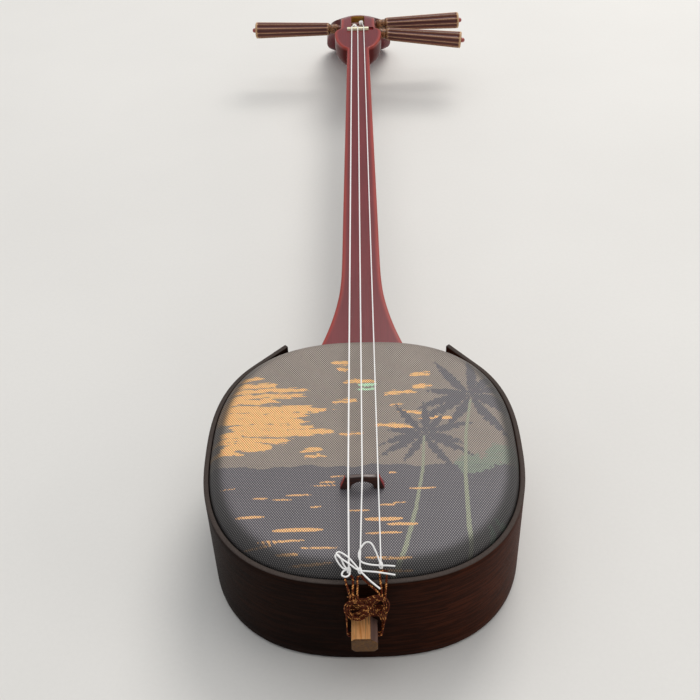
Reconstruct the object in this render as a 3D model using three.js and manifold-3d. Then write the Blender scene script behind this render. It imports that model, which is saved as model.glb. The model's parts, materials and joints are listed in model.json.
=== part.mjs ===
// Okinawan three-string long-neck lute, lying on its back.
// Millimetres, +Z out of the front skin, +Y towards the head, +X to the right seen from the front.
// The origin is the middle of the back skin, which lies at z = 0 with the tip of the head.

import * as THREE from "three";
import { mergeVertices } from "three/addons/utils/BufferGeometryUtils.js";
import Module from "manifold-3d";

const wasm = await Module();
wasm.setup();

// ---------------------------------------------------------------- driving dimensions

const GAP = 0.3; // clearance between neighbouring pieces
const DEG = Math.PI / 180;

const BODY_HEIGHT = 76; // back skin to front skin
const OUTLINE = { halfWidth: 94.15, halfLength: 98.35, exponent: 2.57, steps: 48 };
const WRAP = {
  bottom: 1, top: 69, wall: 3, rightLeaves: 75, leftLeaves: 71, rightTip: 57.7, leftTip: 51.4, steps: 56,
};
const SKIN = { thickness: 0.8, skirt: 21, shoulderWidth: 12, shoulderHeight: 9 };
const STAVE_WALL = 13;

const SKIN_INSET = WRAP.wall + GAP;
const STAVE_INSET = SKIN_INSET + SKIN.thickness + GAP;
const SHOULDER_END = SKIN_INSET + SKIN.shoulderWidth;
const SHOULDER_BASE = BODY_HEIGHT - SKIN.shoulderHeight;

const FACE_Z = 70.7; // front face of the neck
const NECK = { bodyY: 94, headY: 536, bodyHalf: 14.7, headHalf: 10.6, bodyDepth: 25, headDepth: 23 };
const HEEL = { length: 80, flare: 12.1, depth: 20 };
const EDGE = 1.2; // rounding of the neck's front edges

const SLOT = { halfWidth: 6.75, start: 583, end: 619.5, floor: 47 };
const NUT = { y: 578, halfWidth: 10.8, thickness: 3.2, bottom: 68.8, top: 73 };
const STRING_RADIUS = 0.45;

const PEG = {
  tip: -18.2, wall: 17, tipRadius: 2.85, wallRadius: 3.3, neckRadius: 4.5,
  handleLength: 76, innerRadius: 6.2, outerRadius: 8.1, ridges: 10,
};
const BEAD = { radius: 2.3, height: 3.4, rows: 8 };
const WINDING = { halfWidth: 2.1, radius: 4.3, softEdge: 0.5 };

// y, z: where the axis crosses the neck's middle; swing: towards the head; drop: towards the back
const PEGS = [
  {
    name: "left", side: -1, y: 603.2, z: 60.6, swing: 1.4, drop: 0,
    handleStart: 29.5, windingX: -3.6, stringX: -6,
  },
  {
    name: "right_lower", side: 1, y: 591.7, z: 62.4, swing: -8, drop: 3,
    handleStart: 29.5, windingX: -0.4, stringX: 0,
  },
  {
    name: "right_upper", side: 1, y: 613.1, z: 59.6, swing: 3, drop: 0,
    handleStart: 28.5, windingX: 3.6, stringX: 6,
  },
];

const BRIDGE = {
  x: -0.8, y: -36.4, height: 9, footHalf: 12.3, footHeight: 2, topHalf: 10, corner: 1,
  archHalf: 6.7, archPull: 6.75, footThickness: 4.6, topThickness: 2.6,
};

const TENON = {
  headZ: 35.6, headHalfWidth: 11, headHalfHeight: 13, headStart: 70, headEnd: 104,
  tailX: -1.2, tailZ: 34.6, tailHalfWidth: 7.1, tailHalfHeight: 5.6, tailStart: -76, tailEnd: -113,
  chamfer: 1.7, broadChamfer: 3.9, endRounding: 0.6,
};
const TAIL_KNOT = { x: 0.3, y: -104, z: 57, halfWidth: 12.4, halfHeight: 11.4, thickness: 4.6 };
const NOOSE = { half: 8.2, below: 1, above: 10, thickness: 2, corner: 2.5 };
const CORD_RADIUS = 0.7;

// colour, roughness, metalness
const LOOK = {
  lacquer: [0x7d3236, 0.32, 0], staveWood: [0xb08a5c, 0.75, 0],
  skin: [0x7d736c, 0.8, 0], wrap: [0x1c120e, 0.5, 0], ivory: [0xefe9c0, 0.45, 0],
  peg: [0x8a5540, 0.45, 0], bead: [0xa04a45, 0.35, 0], string: [0xe8e4e2, 0.4, 0],
  bridge: [0x4a1512, 0.3, 0], cord: [0x6b2f12, 0.6, 0],
};

const instrument = new THREE.Group();

// ---------------------------------------------------------------- helpers

function material([color, roughness, metalness]) {
  return new THREE.MeshStandardMaterial({ color, roughness, metalness });
}

function piece(name, geometry, look, parent = instrument) {
  const mesh = new THREE.Mesh(geometry, material(look));
  mesh.name = name;
  parent.add(mesh);
  return mesh;
}

function bare(geometry) {
  const copy = geometry.clone();
  copy.deleteAttribute("normal");
  copy.deleteAttribute("uv");
  return mergeVertices(copy, 1e-4);
}

function solid(geometry) {
  const merged = bare(geometry);
  return new wasm.Manifold(new wasm.Mesh({
    numProp: 3,
    vertProperties: new Float32Array(merged.attributes.position.array),
    triVerts: new Uint32Array(merged.index.array),
  }));
}

function geometryOf(manifold) {
  const mesh = manifold.getMesh();
  const geometry = new THREE.BufferGeometry();
  geometry.setAttribute("position", new THREE.BufferAttribute(new Float32Array(mesh.vertProperties), 3));
  geometry.setIndex(new THREE.BufferAttribute(new Uint32Array(mesh.triVerts), 1));
  return geometry;
}

function signedVolume(points, triangles) {
  let volume = 0;
  for (const [a, b, c] of triangles) {
    volume += points[a].dot(new THREE.Vector3().crossVectors(points[b], points[c])) / 6;
  }
  return volume;
}

// A closed skin through rings of equally many points, with flat ends whose outlines are given in 2-D.
function loft(rings, flatten) {
  const count = rings[0].length;
  const points = rings.flat();
  const triangles = [];
  for (let ring = 0; ring + 1 < rings.length; ring++) {
    for (let i = 0; i < count; i++) {
      const next = (i + 1) % count;
      const [a, b] = [ring * count + i, ring * count + next];
      triangles.push([a, b, b + count], [a, b + count, a + count]);
    }
  }
  const last = (rings.length - 1) * count;
  for (const [first, turned] of [[0, true], [last, false]]) {
    const outline = points.slice(first, first + count).map(flatten);
    const forward = THREE.ShapeUtils.isClockWise(outline) ? -1 : 1;
    for (const [a, b, c] of THREE.ShapeUtils.triangulateShape(outline, [])) {
      const facesOn = (THREE.ShapeUtils.area([outline[a], outline[b], outline[c]]) > 0) === (forward > 0);
      const [p, q, r] = facesOn ? [a, b, c] : [a, c, b];
      triangles.push(turned ? [first + p, first + r, first + q] : [first + p, first + q, first + r]);
    }
  }
  if (signedVolume(points, triangles) < 0) triangles.forEach((triangle) => triangle.reverse());
  const geometry = new THREE.BufferGeometry().setFromPoints(points);
  geometry.setIndex(triangles.flat());
  return geometry;
}

const seenFromTop = (point) => new THREE.Vector2(point.x, point.y);
const seenFromTail = (point) => new THREE.Vector2(point.x, point.z);

// A cord's route: the points are joined in order, one step each.
class Route extends THREE.Curve {
  constructor(points) {
    super();
    this.points = points.map(([x, y, z]) => new THREE.Vector3(x, y, z));
  }
  getPoint(t) {
    const place = Math.min(Math.max(t, 0), 1) * (this.points.length - 1);
    const start = Math.min(Math.floor(place), this.points.length - 2);
    return this.points[start].clone().lerp(this.points[start + 1], place - start);
  }
  getPointAt(u) {
    return this.getPoint(u);
  }
  getTangentAt(u) {
    return this.getTangent(u);
  }
}

function tube(points, radius, sides = 6) {
  const circle = new THREE.Shape();
  for (let side = 0; side < sides; side++) {
    const angle = (side / sides) * 2 * Math.PI;
    const [x, y] = [radius * Math.cos(angle), radius * Math.sin(angle)];
    if (side === 0) circle.moveTo(x, y);
    else circle.lineTo(x, y);
  }
  return new THREE.ExtrudeGeometry(circle, {
    extrudePath: new Route(points), steps: points.length - 1, curveSegments: 1,
  });
}

function smoothRoute(points, steps) {
  const curve = new THREE.CatmullRomCurve3(points.map(([x, y, z]) => new THREE.Vector3(x, y, z)));
  return curve.getSpacedPoints(steps).map((point) => point.toArray());
}

// ---------------------------------------------------------------- body

// The rounded-square outline, moved in from the wrap's outside by an inset.
function outlinePoint(angle, inset) {
  const power = 2 / OUTLINE.exponent;
  const [c, s] = [Math.cos(angle), Math.sin(angle)];
  return new THREE.Vector2(
    (OUTLINE.halfWidth - inset) * Math.sign(c) * Math.abs(c) ** power,
    (OUTLINE.halfLength - inset) * Math.sign(s) * Math.abs(s) ** power,
  );
}

function bodyRing(inset, z) {
  return Array.from({ length: OUTLINE.steps }, (_, i) => {
    const point = outlinePoint((i / OUTLINE.steps) * 2 * Math.PI, inset);
    return new THREE.Vector3(point.x, point.y, z);
  });
}

// Quarter-ellipse shoulder from the side up to the flat front, as [inset, z]; depth is how far
// below the skin's outer surface it lies.
function shoulder(depth, steps = 3) {
  return Array.from({ length: steps + 1 }, (_, i) => {
    const angle = (i / steps) * 90 * DEG;
    return [
      SHOULDER_END - (SKIN.shoulderWidth - depth) * Math.cos(angle),
      SHOULDER_BASE + (SKIN.shoulderHeight - depth) * Math.sin(angle),
    ];
  });
}

function skinGeometry(mirrored) {
  const hem = BODY_HEIGHT - SKIN.skirt;
  const profile = [
    ...shoulder(0).reverse(), [SKIN_INSET, hem], [SKIN_INSET + SKIN.thickness, hem],
    ...shoulder(SKIN.thickness),
  ];
  const rings = profile.map(([inset, z]) => bodyRing(inset, mirrored ? BODY_HEIGHT - z : z));
  return loft(rings, seenFromTop);
}

function staveGeometry(middleAngle) {
  const depth = SKIN.thickness + GAP;
  const top = BODY_HEIGHT - depth;
  const inner = STAVE_INSET + STAVE_WALL;
  const upper = [...shoulder(depth), [inner, top]];
  const lower = upper.map(([inset, z]) => [inset, BODY_HEIGHT - z]).reverse();
  const section = [...lower, ...upper];
  const [steps, jointGap] = [14, 0.12 * DEG];
  const rings = Array.from({ length: steps + 1 }, (_, i) => {
    const angle = middleAngle + (i / steps - 0.5) * (90 * DEG - 2 * jointGap);
    return section.map(([inset, z]) => {
      const point = outlinePoint(angle, inset);
      return new THREE.Vector3(point.x, point.y, z);
    });
  });
  const along = outlinePoint(middleAngle, 0).normalize();
  return loft(rings, (point) => new THREE.Vector2(point.x * along.x + point.y * along.y, point.z));
}

// Where the outline's angle parameter passes a given |x|.
function angleAtX(x) {
  return Math.acos((x / OUTLINE.halfWidth) ** (OUTLINE.exponent / 2));
}

// The wrap follows the outline round the tail and runs straight on to its two tips at the neck.
function wrapPath() {
  const start = angleAtX(WRAP.rightLeaves);
  const end = -Math.PI - angleAtX(WRAP.leftLeaves);
  const path = Array.from({ length: WRAP.steps + 1 }, (_, i) => (
    outlinePoint(THREE.MathUtils.lerp(start, end, i / WRAP.steps), 0)
  ));
  const extend = (from, before, tipX) => {
    const direction = from.clone().sub(before);
    return from.clone().addScaledVector(direction, (tipX - from.x) / direction.x);
  };
  path.unshift(extend(path[0], path[1], WRAP.rightTip));
  path.push(extend(path.at(-1), path.at(-2), -WRAP.leftTip));
  return path;
}

function wrapGeometry() {
  const outer = wrapPath();
  const inner = outer.map((point, i) => {
    const before = outer[Math.max(i - 1, 0)];
    const after = outer[Math.min(i + 1, outer.length - 1)];
    const along = after.clone().sub(before).normalize();
    return new THREE.Vector2(point.x + along.y * WRAP.wall, point.y - along.x * WRAP.wall);
  });
  const shape = new THREE.Shape([...outer, ...inner.reverse()]);
  const geometry = new THREE.ExtrudeGeometry(shape, { depth: WRAP.top - WRAP.bottom, bevelEnabled: false });
  return geometry.translate(0, 0, WRAP.bottom);
}

// ---------------------------------------------------------------- neck

// Rows of the neck, from the body to the tip of the head:
// y and z of the middle of the front face, tilt of the section, half width, height of the upright
// side, depth, roundness of the back (2 round, more boxy, 1 a wedge) and crown of the front face.
function neckRows() {
  const shaft = [88, 94, 99, 106, 114, 124, 136, 150, 174, 260, 400, NECK.headY].map((y) => {
    const along = (y - NECK.bodyY) / (NECK.headY - NECK.bodyY);
    const heel = Math.max(0, 1 - (y - NECK.bodyY) / HEEL.length) ** 2;
    return [
      y, FACE_Z, 0,
      THREE.MathUtils.lerp(NECK.bodyHalf, NECK.headHalf, along) + HEEL.flare * heel,
      8 + 10 * heel,
      THREE.MathUtils.lerp(NECK.bodyDepth, NECK.headDepth, along) + HEEL.depth * heel,
      2.2, 0,
    ];
  });
  const head = [
    [537.5, 70.7, 0, 11.4, 8.5, 23.2, 2.2, 0], // bulge below the nut
    [540.7, 70.7, 0, 14.8, 10, 24.2, 2.2, 0],
    [547.6, 70.7, 0, 18.7, 12, 25.8, 2.2, 0],
    [558, 70.7, 0, 21.9, 13, 27.2, 2.2, 0],
    [571, 70.7, 0, 23.2, 13.5, 28, 2.3, 0],
    [577, 70.7, 0, 22.2, 14, 28, 2.5, 0],
    [580.5, 70.6, 2, 19.5, 15, 28, 2.8, 0],
    [583, 70.4, 3, 17.6, 16, 28, 3, 0],
    [588, 69.9, 5, 17, 18, 28, 3.2, 0], // pegbox
    [610, 68, 5, 17, 18, 28, 3.2, 0.6],
    [619, 67, 9, 17.6, 17, 27.5, 3, 2.6],
    [627, 64.6, 24, 20.6, 12, 26, 2, 4.2], // fold of the head
    [635.5, 59.6, 37, 25.2, 8, 22, 1.5, 4.4],
    [648, 50, 45, 29.6, 7, 17, 1.5, 4],
    [663, 35, 49, 33, 7, 13, 1.7, 3.6],
    [674.5, 22, 50, 34.8, 7, 11.5, 2, 3.4], // rounded fan end
    [680.5, 14.6, 50, 33.6, 7, 11, 2, 3],
    [685.3, 8.8, 50, 29.2, 7, 10.4, 2, 2.4],
    [688.8, 4.4, 50, 22, 7, 10, 2, 1.6],
    [691.4, 1.2, 50, 10, 7, 9.6, 2, 0.6],
  ];
  return [...shaft, ...head];
}

// One closed section of the neck, from the middle of the front face round by the right.
function neckSection([y, z, tilt, half, side, depth, roundness, crown]) {
  const front = (x) => -crown * (x / half) ** 2;
  const right = [0.3, 0.6, 0.82].map((share) => [half * share, front(half * share)]);
  right.push([half - EDGE, front(half - EDGE)], [half - 0.3 * EDGE, front(half) - 0.3 * EDGE]);
  right.push([half, front(half) - EDGE], [half, front(half) - side]);
  for (const angle of [18, 36, 52, 66, 79]) {
    const power = 2 / roundness;
    right.push([
      half * Math.cos(angle * DEG) ** power,
      front(half) - side - (depth - side + front(half)) * Math.sin(angle * DEG) ** power,
    ]);
  }
  const left = right.map(([x, v]) => [-x, v]).reverse();
  return [[0, 0], ...right, [0, -depth], ...left].map(([x, v]) => new THREE.Vector3(
    x, y + v * Math.sin(tilt * DEG), z + v * Math.cos(tilt * DEG),
  ));
}

// Slopes that keep each column of the rows free of overshoot between rows.
function easedRows(rows, perRow) {
  const columns = rows[0].map((_, column) => rows.map((row) => row[column]));
  const eased = columns.map((values) => {
    const step = values.slice(1).map((value, i) => value - values[i]);
    const slope = values.map((_, i) => {
      const [a, b] = [step[i - 1] ?? step[i], step[i] ?? step[i - 1]];
      return a * b > 0 ? (2 * a * b) / (a + b) : 0;
    });
    const dense = [];
    for (let i = 0; i < step.length; i++) {
      for (let part = 0; part < perRow; part++) {
        const t = part / perRow;
        dense.push(
          values[i] * (1 + 2 * t) * (1 - t) ** 2 + slope[i] * t * (1 - t) ** 2
          + values[i + 1] * t * t * (3 - 2 * t) + slope[i + 1] * t * t * (t - 1),
        );
      }
    }
    return [...dense, values.at(-1)];
  });
  return eased[0].map((_, i) => eased.map((column) => column[i]));
}

// Chamfered oblong section of the tenon, with the broad chamfer on the upper right edge.
function tenonSection(y, [x0, z0], [halfWidth, halfHeight], grow) {
  const [w, h] = [halfWidth + grow, halfHeight + grow];
  const [small, broad] = [TENON.chamfer, TENON.broadChamfer];
  return [
    [-w, -h + small], [-w + small, -h], [w - small, -h], [w, -h + small],
    [w, h - broad], [w - broad, h], [-w + small, h], [-w, h - small],
  ].map(([x, z]) => new THREE.Vector3(x0 + x, y, z0 + z));
}

function tenonGeometry(grow = 0) {
  const tail = [[TENON.tailX, TENON.tailZ], [TENON.tailHalfWidth, TENON.tailHalfHeight]];
  const end = [tail[0], tail[1].map((half) => half - TENON.endRounding)];
  const head = [[0, TENON.headZ], [TENON.headHalfWidth, TENON.headHalfHeight]];
  return loft([
    tenonSection(TENON.tailEnd - grow, ...end, grow),
    tenonSection(TENON.tailEnd + TENON.endRounding, ...tail, grow),
    tenonSection(TENON.tailStart, ...tail, grow),
    tenonSection(TENON.headStart, ...head, grow),
    tenonSection(TENON.headEnd, ...head, grow),
  ], seenFromTail);
}

// Everything the neck's heel has to stay out of.
function bodyClearance() {
  const upper = shoulder(-GAP);
  const lower = upper.map(([inset, z]) => [inset, BODY_HEIGHT - z]).reverse();
  return loft([...lower, ...upper].map(([inset, z]) => bodyRing(inset, z)), seenFromTop);
}

function boxFrom([x0, y0, z0], [x1, y1, z1]) {
  return new THREE.BoxGeometry(x1 - x0, y1 - y0, z1 - z0)
    .translate((x0 + x1) / 2, (y0 + y1) / 2, (z0 + z1) / 2);
}

function nutBox(grow) {
  return boxFrom(
    [-NUT.halfWidth - grow, NUT.y - NUT.thickness / 2 - grow, NUT.bottom - grow],
    [NUT.halfWidth + grow, NUT.y + NUT.thickness / 2 + grow, NUT.top + grow],
  );
}

function neckGeometry() {
  const carved = loft(easedRows(neckRows(), 2).map(neckSection), seenFromTail);
  let neck = solid(carved).subtract(solid(bodyClearance())).add(solid(tenonGeometry()));
  neck = neck.subtract(solid(boxFrom(
    [-SLOT.halfWidth, SLOT.start, SLOT.floor], [SLOT.halfWidth, SLOT.end, BODY_HEIGHT],
  )));
  neck = neck.subtract(solid(nutBox(GAP)));
  for (const peg of PEGS) {
    const bore = pegBore().applyMatrix4(pegPlace(peg).matrixWorld);
    neck = neck.subtract(solid(bore));
  }
  neck = neck.subtract(solid(boxFrom([-60, 600, -40], [60, 720, 0])));
  return geometryOf(neck);
}

// ---------------------------------------------------------------- pegs

function pegPlace({ side, y, z, swing, drop }) {
  const place = new THREE.Group();
  const direction = new THREE.Vector3(
    side * Math.cos(swing * DEG), Math.sin(swing * DEG), -Math.tan(drop * DEG),
  ).normalize();
  place.position.set(0, y, z);
  place.quaternion.setFromUnitVectors(new THREE.Vector3(1, 0, 0), direction);
  place.updateMatrixWorld(true);
  return place;
}

function shankRadius(x) {
  return THREE.MathUtils.mapLinear(x, -PEG.wall, PEG.wall, PEG.tipRadius, PEG.wallRadius);
}

function roundRing(x, radius, count = 24) {
  return Array.from({ length: count }, (_, i) => {
    const angle = (i / count) * 2 * Math.PI;
    return new THREE.Vector3(x, radius * Math.cos(angle), radius * Math.sin(angle));
  });
}

const seenAlongPeg = (point) => new THREE.Vector2(point.y, point.z);

function pegBore() {
  const [inner, outer] = [-30, 30];
  return loft([
    roundRing(inner, shankRadius(-PEG.wall) + GAP), roundRing(-PEG.wall, shankRadius(-PEG.wall) + GAP),
    roundRing(PEG.wall, shankRadius(PEG.wall) + GAP), roundRing(outer, shankRadius(PEG.wall) + GAP),
  ], seenAlongPeg);
}

// Four points a ridge: the groove, the two sides and the crest.
function flutedRing(x, radius, groove) {
  const shares = [groove, 1 - 0.2 * (1 - groove), 1, 1 - 0.2 * (1 - groove)];
  const count = PEG.ridges * shares.length;
  return Array.from({ length: count }, (_, i) => {
    const angle = (i / count) * 2 * Math.PI;
    const r = radius * shares[i % shares.length];
    return new THREE.Vector3(x, r * Math.cos(angle), r * Math.sin(angle));
  });
}

function pegGeometry(handleStart) {
  const end = handleStart + PEG.handleLength;
  return loft([
    flutedRing(PEG.tip, PEG.tipRadius - 0.7, 1),
    flutedRing(PEG.tip + 0.7, PEG.tipRadius, 1),
    flutedRing(PEG.wall, PEG.wallRadius, 1),
    flutedRing(handleStart - 5, PEG.wallRadius + 0.4, 1),
    flutedRing(handleStart - 1.5, PEG.neckRadius, 0.97),
    flutedRing(handleStart, PEG.innerRadius - 0.8, 0.88),
    flutedRing(handleStart + 1.5, PEG.innerRadius, 0.82),
    flutedRing(end - 1.6, PEG.outerRadius, 0.8),
    flutedRing(end - 0.4, PEG.outerRadius - 0.6, 0.8),
    flutedRing(end, PEG.outerRadius - 1.6, 0.8),
  ], seenAlongPeg);
}

function windingGeometry(x) {
  const hole = shankRadius(x) + GAP;
  const { halfWidth, radius, softEdge } = WINDING;
  const profile = [
    [hole, -halfWidth], [radius - softEdge, -halfWidth], [radius, -halfWidth / 2],
    [radius, halfWidth / 2], [radius - softEdge, halfWidth], [hole, halfWidth], [hole, -halfWidth],
  ].map(([r, along]) => new THREE.Vector2(r, along));
  return new THREE.LatheGeometry(profile, 20).rotateZ(-Math.PI / 2).translate(x, 0, 0);
}

// A ball sunk a third of the way into the handle's end.
function beadGeometry() {
  const { radius, height, rows } = BEAD;
  const middle = height - radius;
  const sunk = Math.asin(middle / radius);
  const profile = Array.from({ length: rows }, (_, i) => {
    const angle = THREE.MathUtils.lerp(-sunk, 90 * DEG, i / (rows - 1));
    return new THREE.Vector2(radius * Math.cos(angle), middle + radius * Math.sin(angle));
  });
  profile.at(-1).x = 0;
  return new THREE.LatheGeometry([new THREE.Vector2(0, 0), ...profile], 14).rotateZ(-Math.PI / 2);
}

function addPeg(peg) {
  const place = pegPlace(peg);
  instrument.add(place);
  piece(`peg_${peg.name}`, pegGeometry(peg.handleStart), LOOK.peg, place);
  const bead = beadGeometry().translate(peg.handleStart + PEG.handleLength + GAP, 0, 0);
  piece(`peg_bead_${peg.name}`, bead, LOOK.bead, place);
  piece(`string_winding_${peg.name}`, windingGeometry(peg.side * peg.windingX), LOOK.string, place);
}

// ---------------------------------------------------------------- bridge and strings

function bridgeGeometry() {
  const { footHalf, footHeight, topHalf, corner, archHalf, archPull, height } = BRIDGE;
  const shape = new THREE.Shape();
  shape.moveTo(-footHalf, 0);
  shape.lineTo(-archHalf, 0);
  shape.bezierCurveTo(-archHalf, archPull, archHalf, archPull, archHalf, 0);
  shape.lineTo(footHalf, 0);
  shape.lineTo(footHalf, footHeight);
  shape.lineTo(topHalf, height - corner);
  shape.lineTo(topHalf - corner, height);
  shape.lineTo(corner - topHalf, height);
  shape.lineTo(-topHalf, height - corner);
  shape.lineTo(-footHalf, footHeight);
  const geometry = new THREE.ExtrudeGeometry(shape, { depth: 2, curveSegments: 10, bevelEnabled: false });
  const positions = geometry.attributes.position;
  for (let i = 0; i < positions.count; i++) {
    const up = positions.getY(i);
    const side = 1 - positions.getZ(i);
    const thickness = THREE.MathUtils.lerp(BRIDGE.footThickness, BRIDGE.topThickness, up / height);
    const y = BRIDGE.y + (side * thickness) / 2;
    positions.setXYZ(i, BRIDGE.x + positions.getX(i), y, BODY_HEIGHT + GAP + up);
  }
  return geometry;
}

const KNOTS = [
  { name: "left", x: -8.4, y: -95.4, z: 77, bridgeX: -8.5 },
  { name: "middle", x: -2.6, y: -95.9, z: 77.2, bridgeX: -0.7 },
  { name: "right", x: 8.5, y: -93.8, z: 78.5, bridgeX: 8.2 },
];
const KNOT_RADIUS = 1.5;

// From just clear of the winding over the nut and the bridge to just clear of the end knot.
function stringRoute(peg, knot) {
  const place = pegPlace(peg);
  const onAxis = new THREE.Vector3(peg.side * peg.windingX, 0, 0).applyMatrix4(place.matrixWorld);
  const overNut = new THREE.Vector3(peg.stringX, NUT.y, NUT.top + STRING_RADIUS + GAP);
  const overBridge = [knot.bridgeX, BRIDGE.y, BODY_HEIGHT + GAP + BRIDGE.height + STRING_RADIUS + GAP];
  const reach = WINDING.radius + STRING_RADIUS + GAP;
  const halfTop = BRIDGE.topThickness / 2 + 0.2;
  const windingTop = onAxis.clone().add(new THREE.Vector3(0, -0.3 * reach, 0.96 * reach));
  const offNut = overNut.clone().add(new THREE.Vector3(0, 1.9, -0.15));
  const end = new THREE.Vector3(knot.x, knot.y, knot.z);
  const start = new THREE.Vector3(...overBridge);
  const stop = end.clone().addScaledVector(start.clone().sub(end).normalize(), KNOT_RADIUS + 2 * GAP);
  const between = (a, b, share) => a.clone().lerp(b, share).toArray();
  return [
    windingTop.toArray(), between(windingTop, offNut, 0.5), offNut.toArray(),
    [overNut.x, overNut.y - 1.8, overNut.z],
    ...[0.25, 0.5, 0.75].map((share) => between(overNut, start, share)),
    [overBridge[0], overBridge[1] + halfTop, overBridge[2]],
    [overBridge[0], overBridge[1] - halfTop, overBridge[2]],
    between(start, stop, 0.5), stop.toArray(),
  ];
}

function ball([x, y, z], radius) {
  return new THREE.SphereGeometry(radius, 12, 8).translate(x, y, z);
}

// Loops and tag ends of each knot, as points from the knot and back to it.
const KNOT_TAGS = {
  left: [
    [[0, 0, 0], [-0.6, -2.6, -0.4], [-3.4, -3.2, -0.6], [-3.2, -0.6, -0.2], [0, 0, 0]],
    [[0, 0, 0], [-2.2, 2.4, 0.4], [-4, 6.4, 1], [-5.4, 9, 1.3], [-6.8, 8.8, 1.3], [-6, 5.4, 1],
      [-3.4, 1.4, 0.6], [0, 0, 0]],
  ],
  middle: [
    [[0, 0, 0], [-3, 2.4, 2], [-7, 5, 3.4], [-13, 8, 3.6], [-14.6, 7, 3.6], [-12, 4.6, 3.6], [-6, 1.6, 3.4],
      [-2.4, 0.4, 1.8], [0, 0, 0]],
    [[0, 0, 0], [9, -1.6, 0.6], [18.4, -3.4, 0.4]],
    [[0, 0, 0], [5, -5, -1.6], [10.4, -9.2, -3.4]],
  ],
  right: [
    [[0, 0, 0], [-2.4, 5.4, 4], [-5.6, 9.6, 6.4], [-9, 9.4, 6], [-11.4, 5.6, 4], [-10.6, 1.6, 2],
      [-6, 0.2, 0.8], [0, 0, 0]],
    [[0, 0, 0], [3.6, -0.6, 0.6], [7.4, -1.2, 0.8]],
  ],
};

function knotGeometry(knot) {
  const centre = [knot.x, knot.y, knot.z];
  let lump = solid(ball(centre, KNOT_RADIUS));
  for (const tag of KNOT_TAGS[knot.name]) {
    const points = tag.map((offset) => offset.map((value, axis) => value + centre[axis]));
    lump = lump.add(solid(tube(smoothRoute(points, 2 * points.length), STRING_RADIUS)));
  }
  return geometryOf(lump);
}

// ---------------------------------------------------------------- tail cord

// Each loop runs straight up from the flat knot to a string knot, round it and back down.
const TAIL_LOOPS = {
  left: { from: -7.9, to: -6.3, top: [-8.4, -97, 74.3], spread: 2 },
  middle: { from: -4.5, to: 7, top: [-2.3, -97.5, 74.5], spread: 1.7 },
  right: { from: 8.7, to: 10.6, top: [9.6, -95.4, 75.8], spread: 1.8 },
};

function loopGeometry({ from, to, top: [x, y, z], spread }) {
  const foot = [TAIL_KNOT.y + 0.4, TAIL_KNOT.z + TAIL_KNOT.halfHeight + CORD_RADIUS + GAP];
  return tube(smoothRoute([
    [from, ...foot], [x - spread, y - 1.2, z - 1], [x - spread * 0.6, y, z],
    [x + spread * 0.6, y, z], [x + spread, y - 1.2, z - 1], [to, ...foot],
  ], 18), CORD_RADIUS);
}

function tailKnotGeometry() {
  const { x, y, z, halfWidth, halfHeight, thickness } = TAIL_KNOT;
  const bevel = 1.2;
  const outline = new THREE.Shape();
  outline.absellipse(0, 0, halfWidth, halfHeight, 0, 2 * Math.PI, false, 0);
  const slab = new THREE.ExtrudeGeometry(outline, {
    depth: thickness - 2 * bevel, curveSegments: 16,
    bevelThickness: bevel, bevelSize: bevel, bevelOffset: -bevel, bevelSegments: 2,
  });
  return slab.rotateX(Math.PI / 2).translate(x, y + thickness / 2 - bevel, z);
}

// A rounded frame round the tail block, tall enough to reach up behind the flat knot.
function roundedFrame(half, low, high, corner) {
  const path = new THREE.Path();
  path.moveTo(-half + corner, low);
  path.lineTo(half - corner, low);
  path.absarc(half - corner, low + corner, corner, -Math.PI / 2, 0, false);
  path.lineTo(half, high - corner);
  path.absarc(half - corner, high - corner, corner, 0, Math.PI / 2, false);
  path.lineTo(-half + corner, high);
  path.absarc(-half + corner, high - corner, corner, Math.PI / 2, Math.PI, false);
  path.lineTo(-half, low + corner);
  path.absarc(-half + corner, low + corner, corner, Math.PI, 1.5 * Math.PI, false);
  return path.getPoints(3);
}

function nooseGeometry() {
  const { half, below, above, thickness, corner } = NOOSE;
  const low = TENON.tailZ - TENON.tailHalfHeight - below;
  const high = TENON.tailZ + TENON.tailHalfHeight + above;
  const ring = new THREE.Shape(
    roundedFrame(half + thickness, low - thickness, high + thickness, corner + thickness),
  );
  ring.holes.push(new THREE.Path(roundedFrame(half, low, high, corner)));
  const geometry = new THREE.ExtrudeGeometry(ring, { depth: thickness, bevelEnabled: false });
  return geometry.rotateX(Math.PI / 2).translate(TENON.tailX, -OUTLINE.halfLength - GAP, 0);
}

// ---------------------------------------------------------------- assembly

piece("front_skin", skinGeometry(false), LOOK.skin);
piece("back_skin", skinGeometry(true), LOOK.skin);

const STAVES = { right: 0, head: 90, left: 180, tail: 270 };
for (const [side, angle] of Object.entries(STAVES)) {
  const stave = staveGeometry(angle * DEG);
  const mortised = geometryOf(solid(stave).subtract(solid(tenonGeometry(GAP))));
  piece(`body_stave_${side}`, ["head", "tail"].includes(side) ? mortised : stave, LOOK.staveWood);
}

piece("side_wrap", geometryOf(solid(wrapGeometry()).subtract(solid(tenonGeometry(GAP)))), LOOK.wrap);
piece("neck", neckGeometry(), LOOK.lacquer);
piece("nut", nutBox(0), LOOK.ivory);
PEGS.forEach(addPeg);
piece("bridge", bridgeGeometry(), LOOK.bridge);

const STRING_PAIRS = [["left", "left"], ["right_lower", "middle"], ["right_upper", "right"]];
for (const [pegName, knotName] of STRING_PAIRS) {
  const peg = PEGS.find(({ name }) => name === pegName);
  const knot = KNOTS.find(({ name }) => name === knotName);
  piece(`string_${knotName}`, tube(stringRoute(peg, knot), STRING_RADIUS), LOOK.string);
  piece(`string_knot_${knotName}`, knotGeometry(knot), LOOK.string);
  piece(`tail_loop_${knotName}`, loopGeometry(TAIL_LOOPS[knotName]), LOOK.cord);
}
piece("tail_knot", tailKnotGeometry(), LOOK.cord);
piece("tail_noose", nooseGeometry(), LOOK.cord);

export default instrument;
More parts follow.
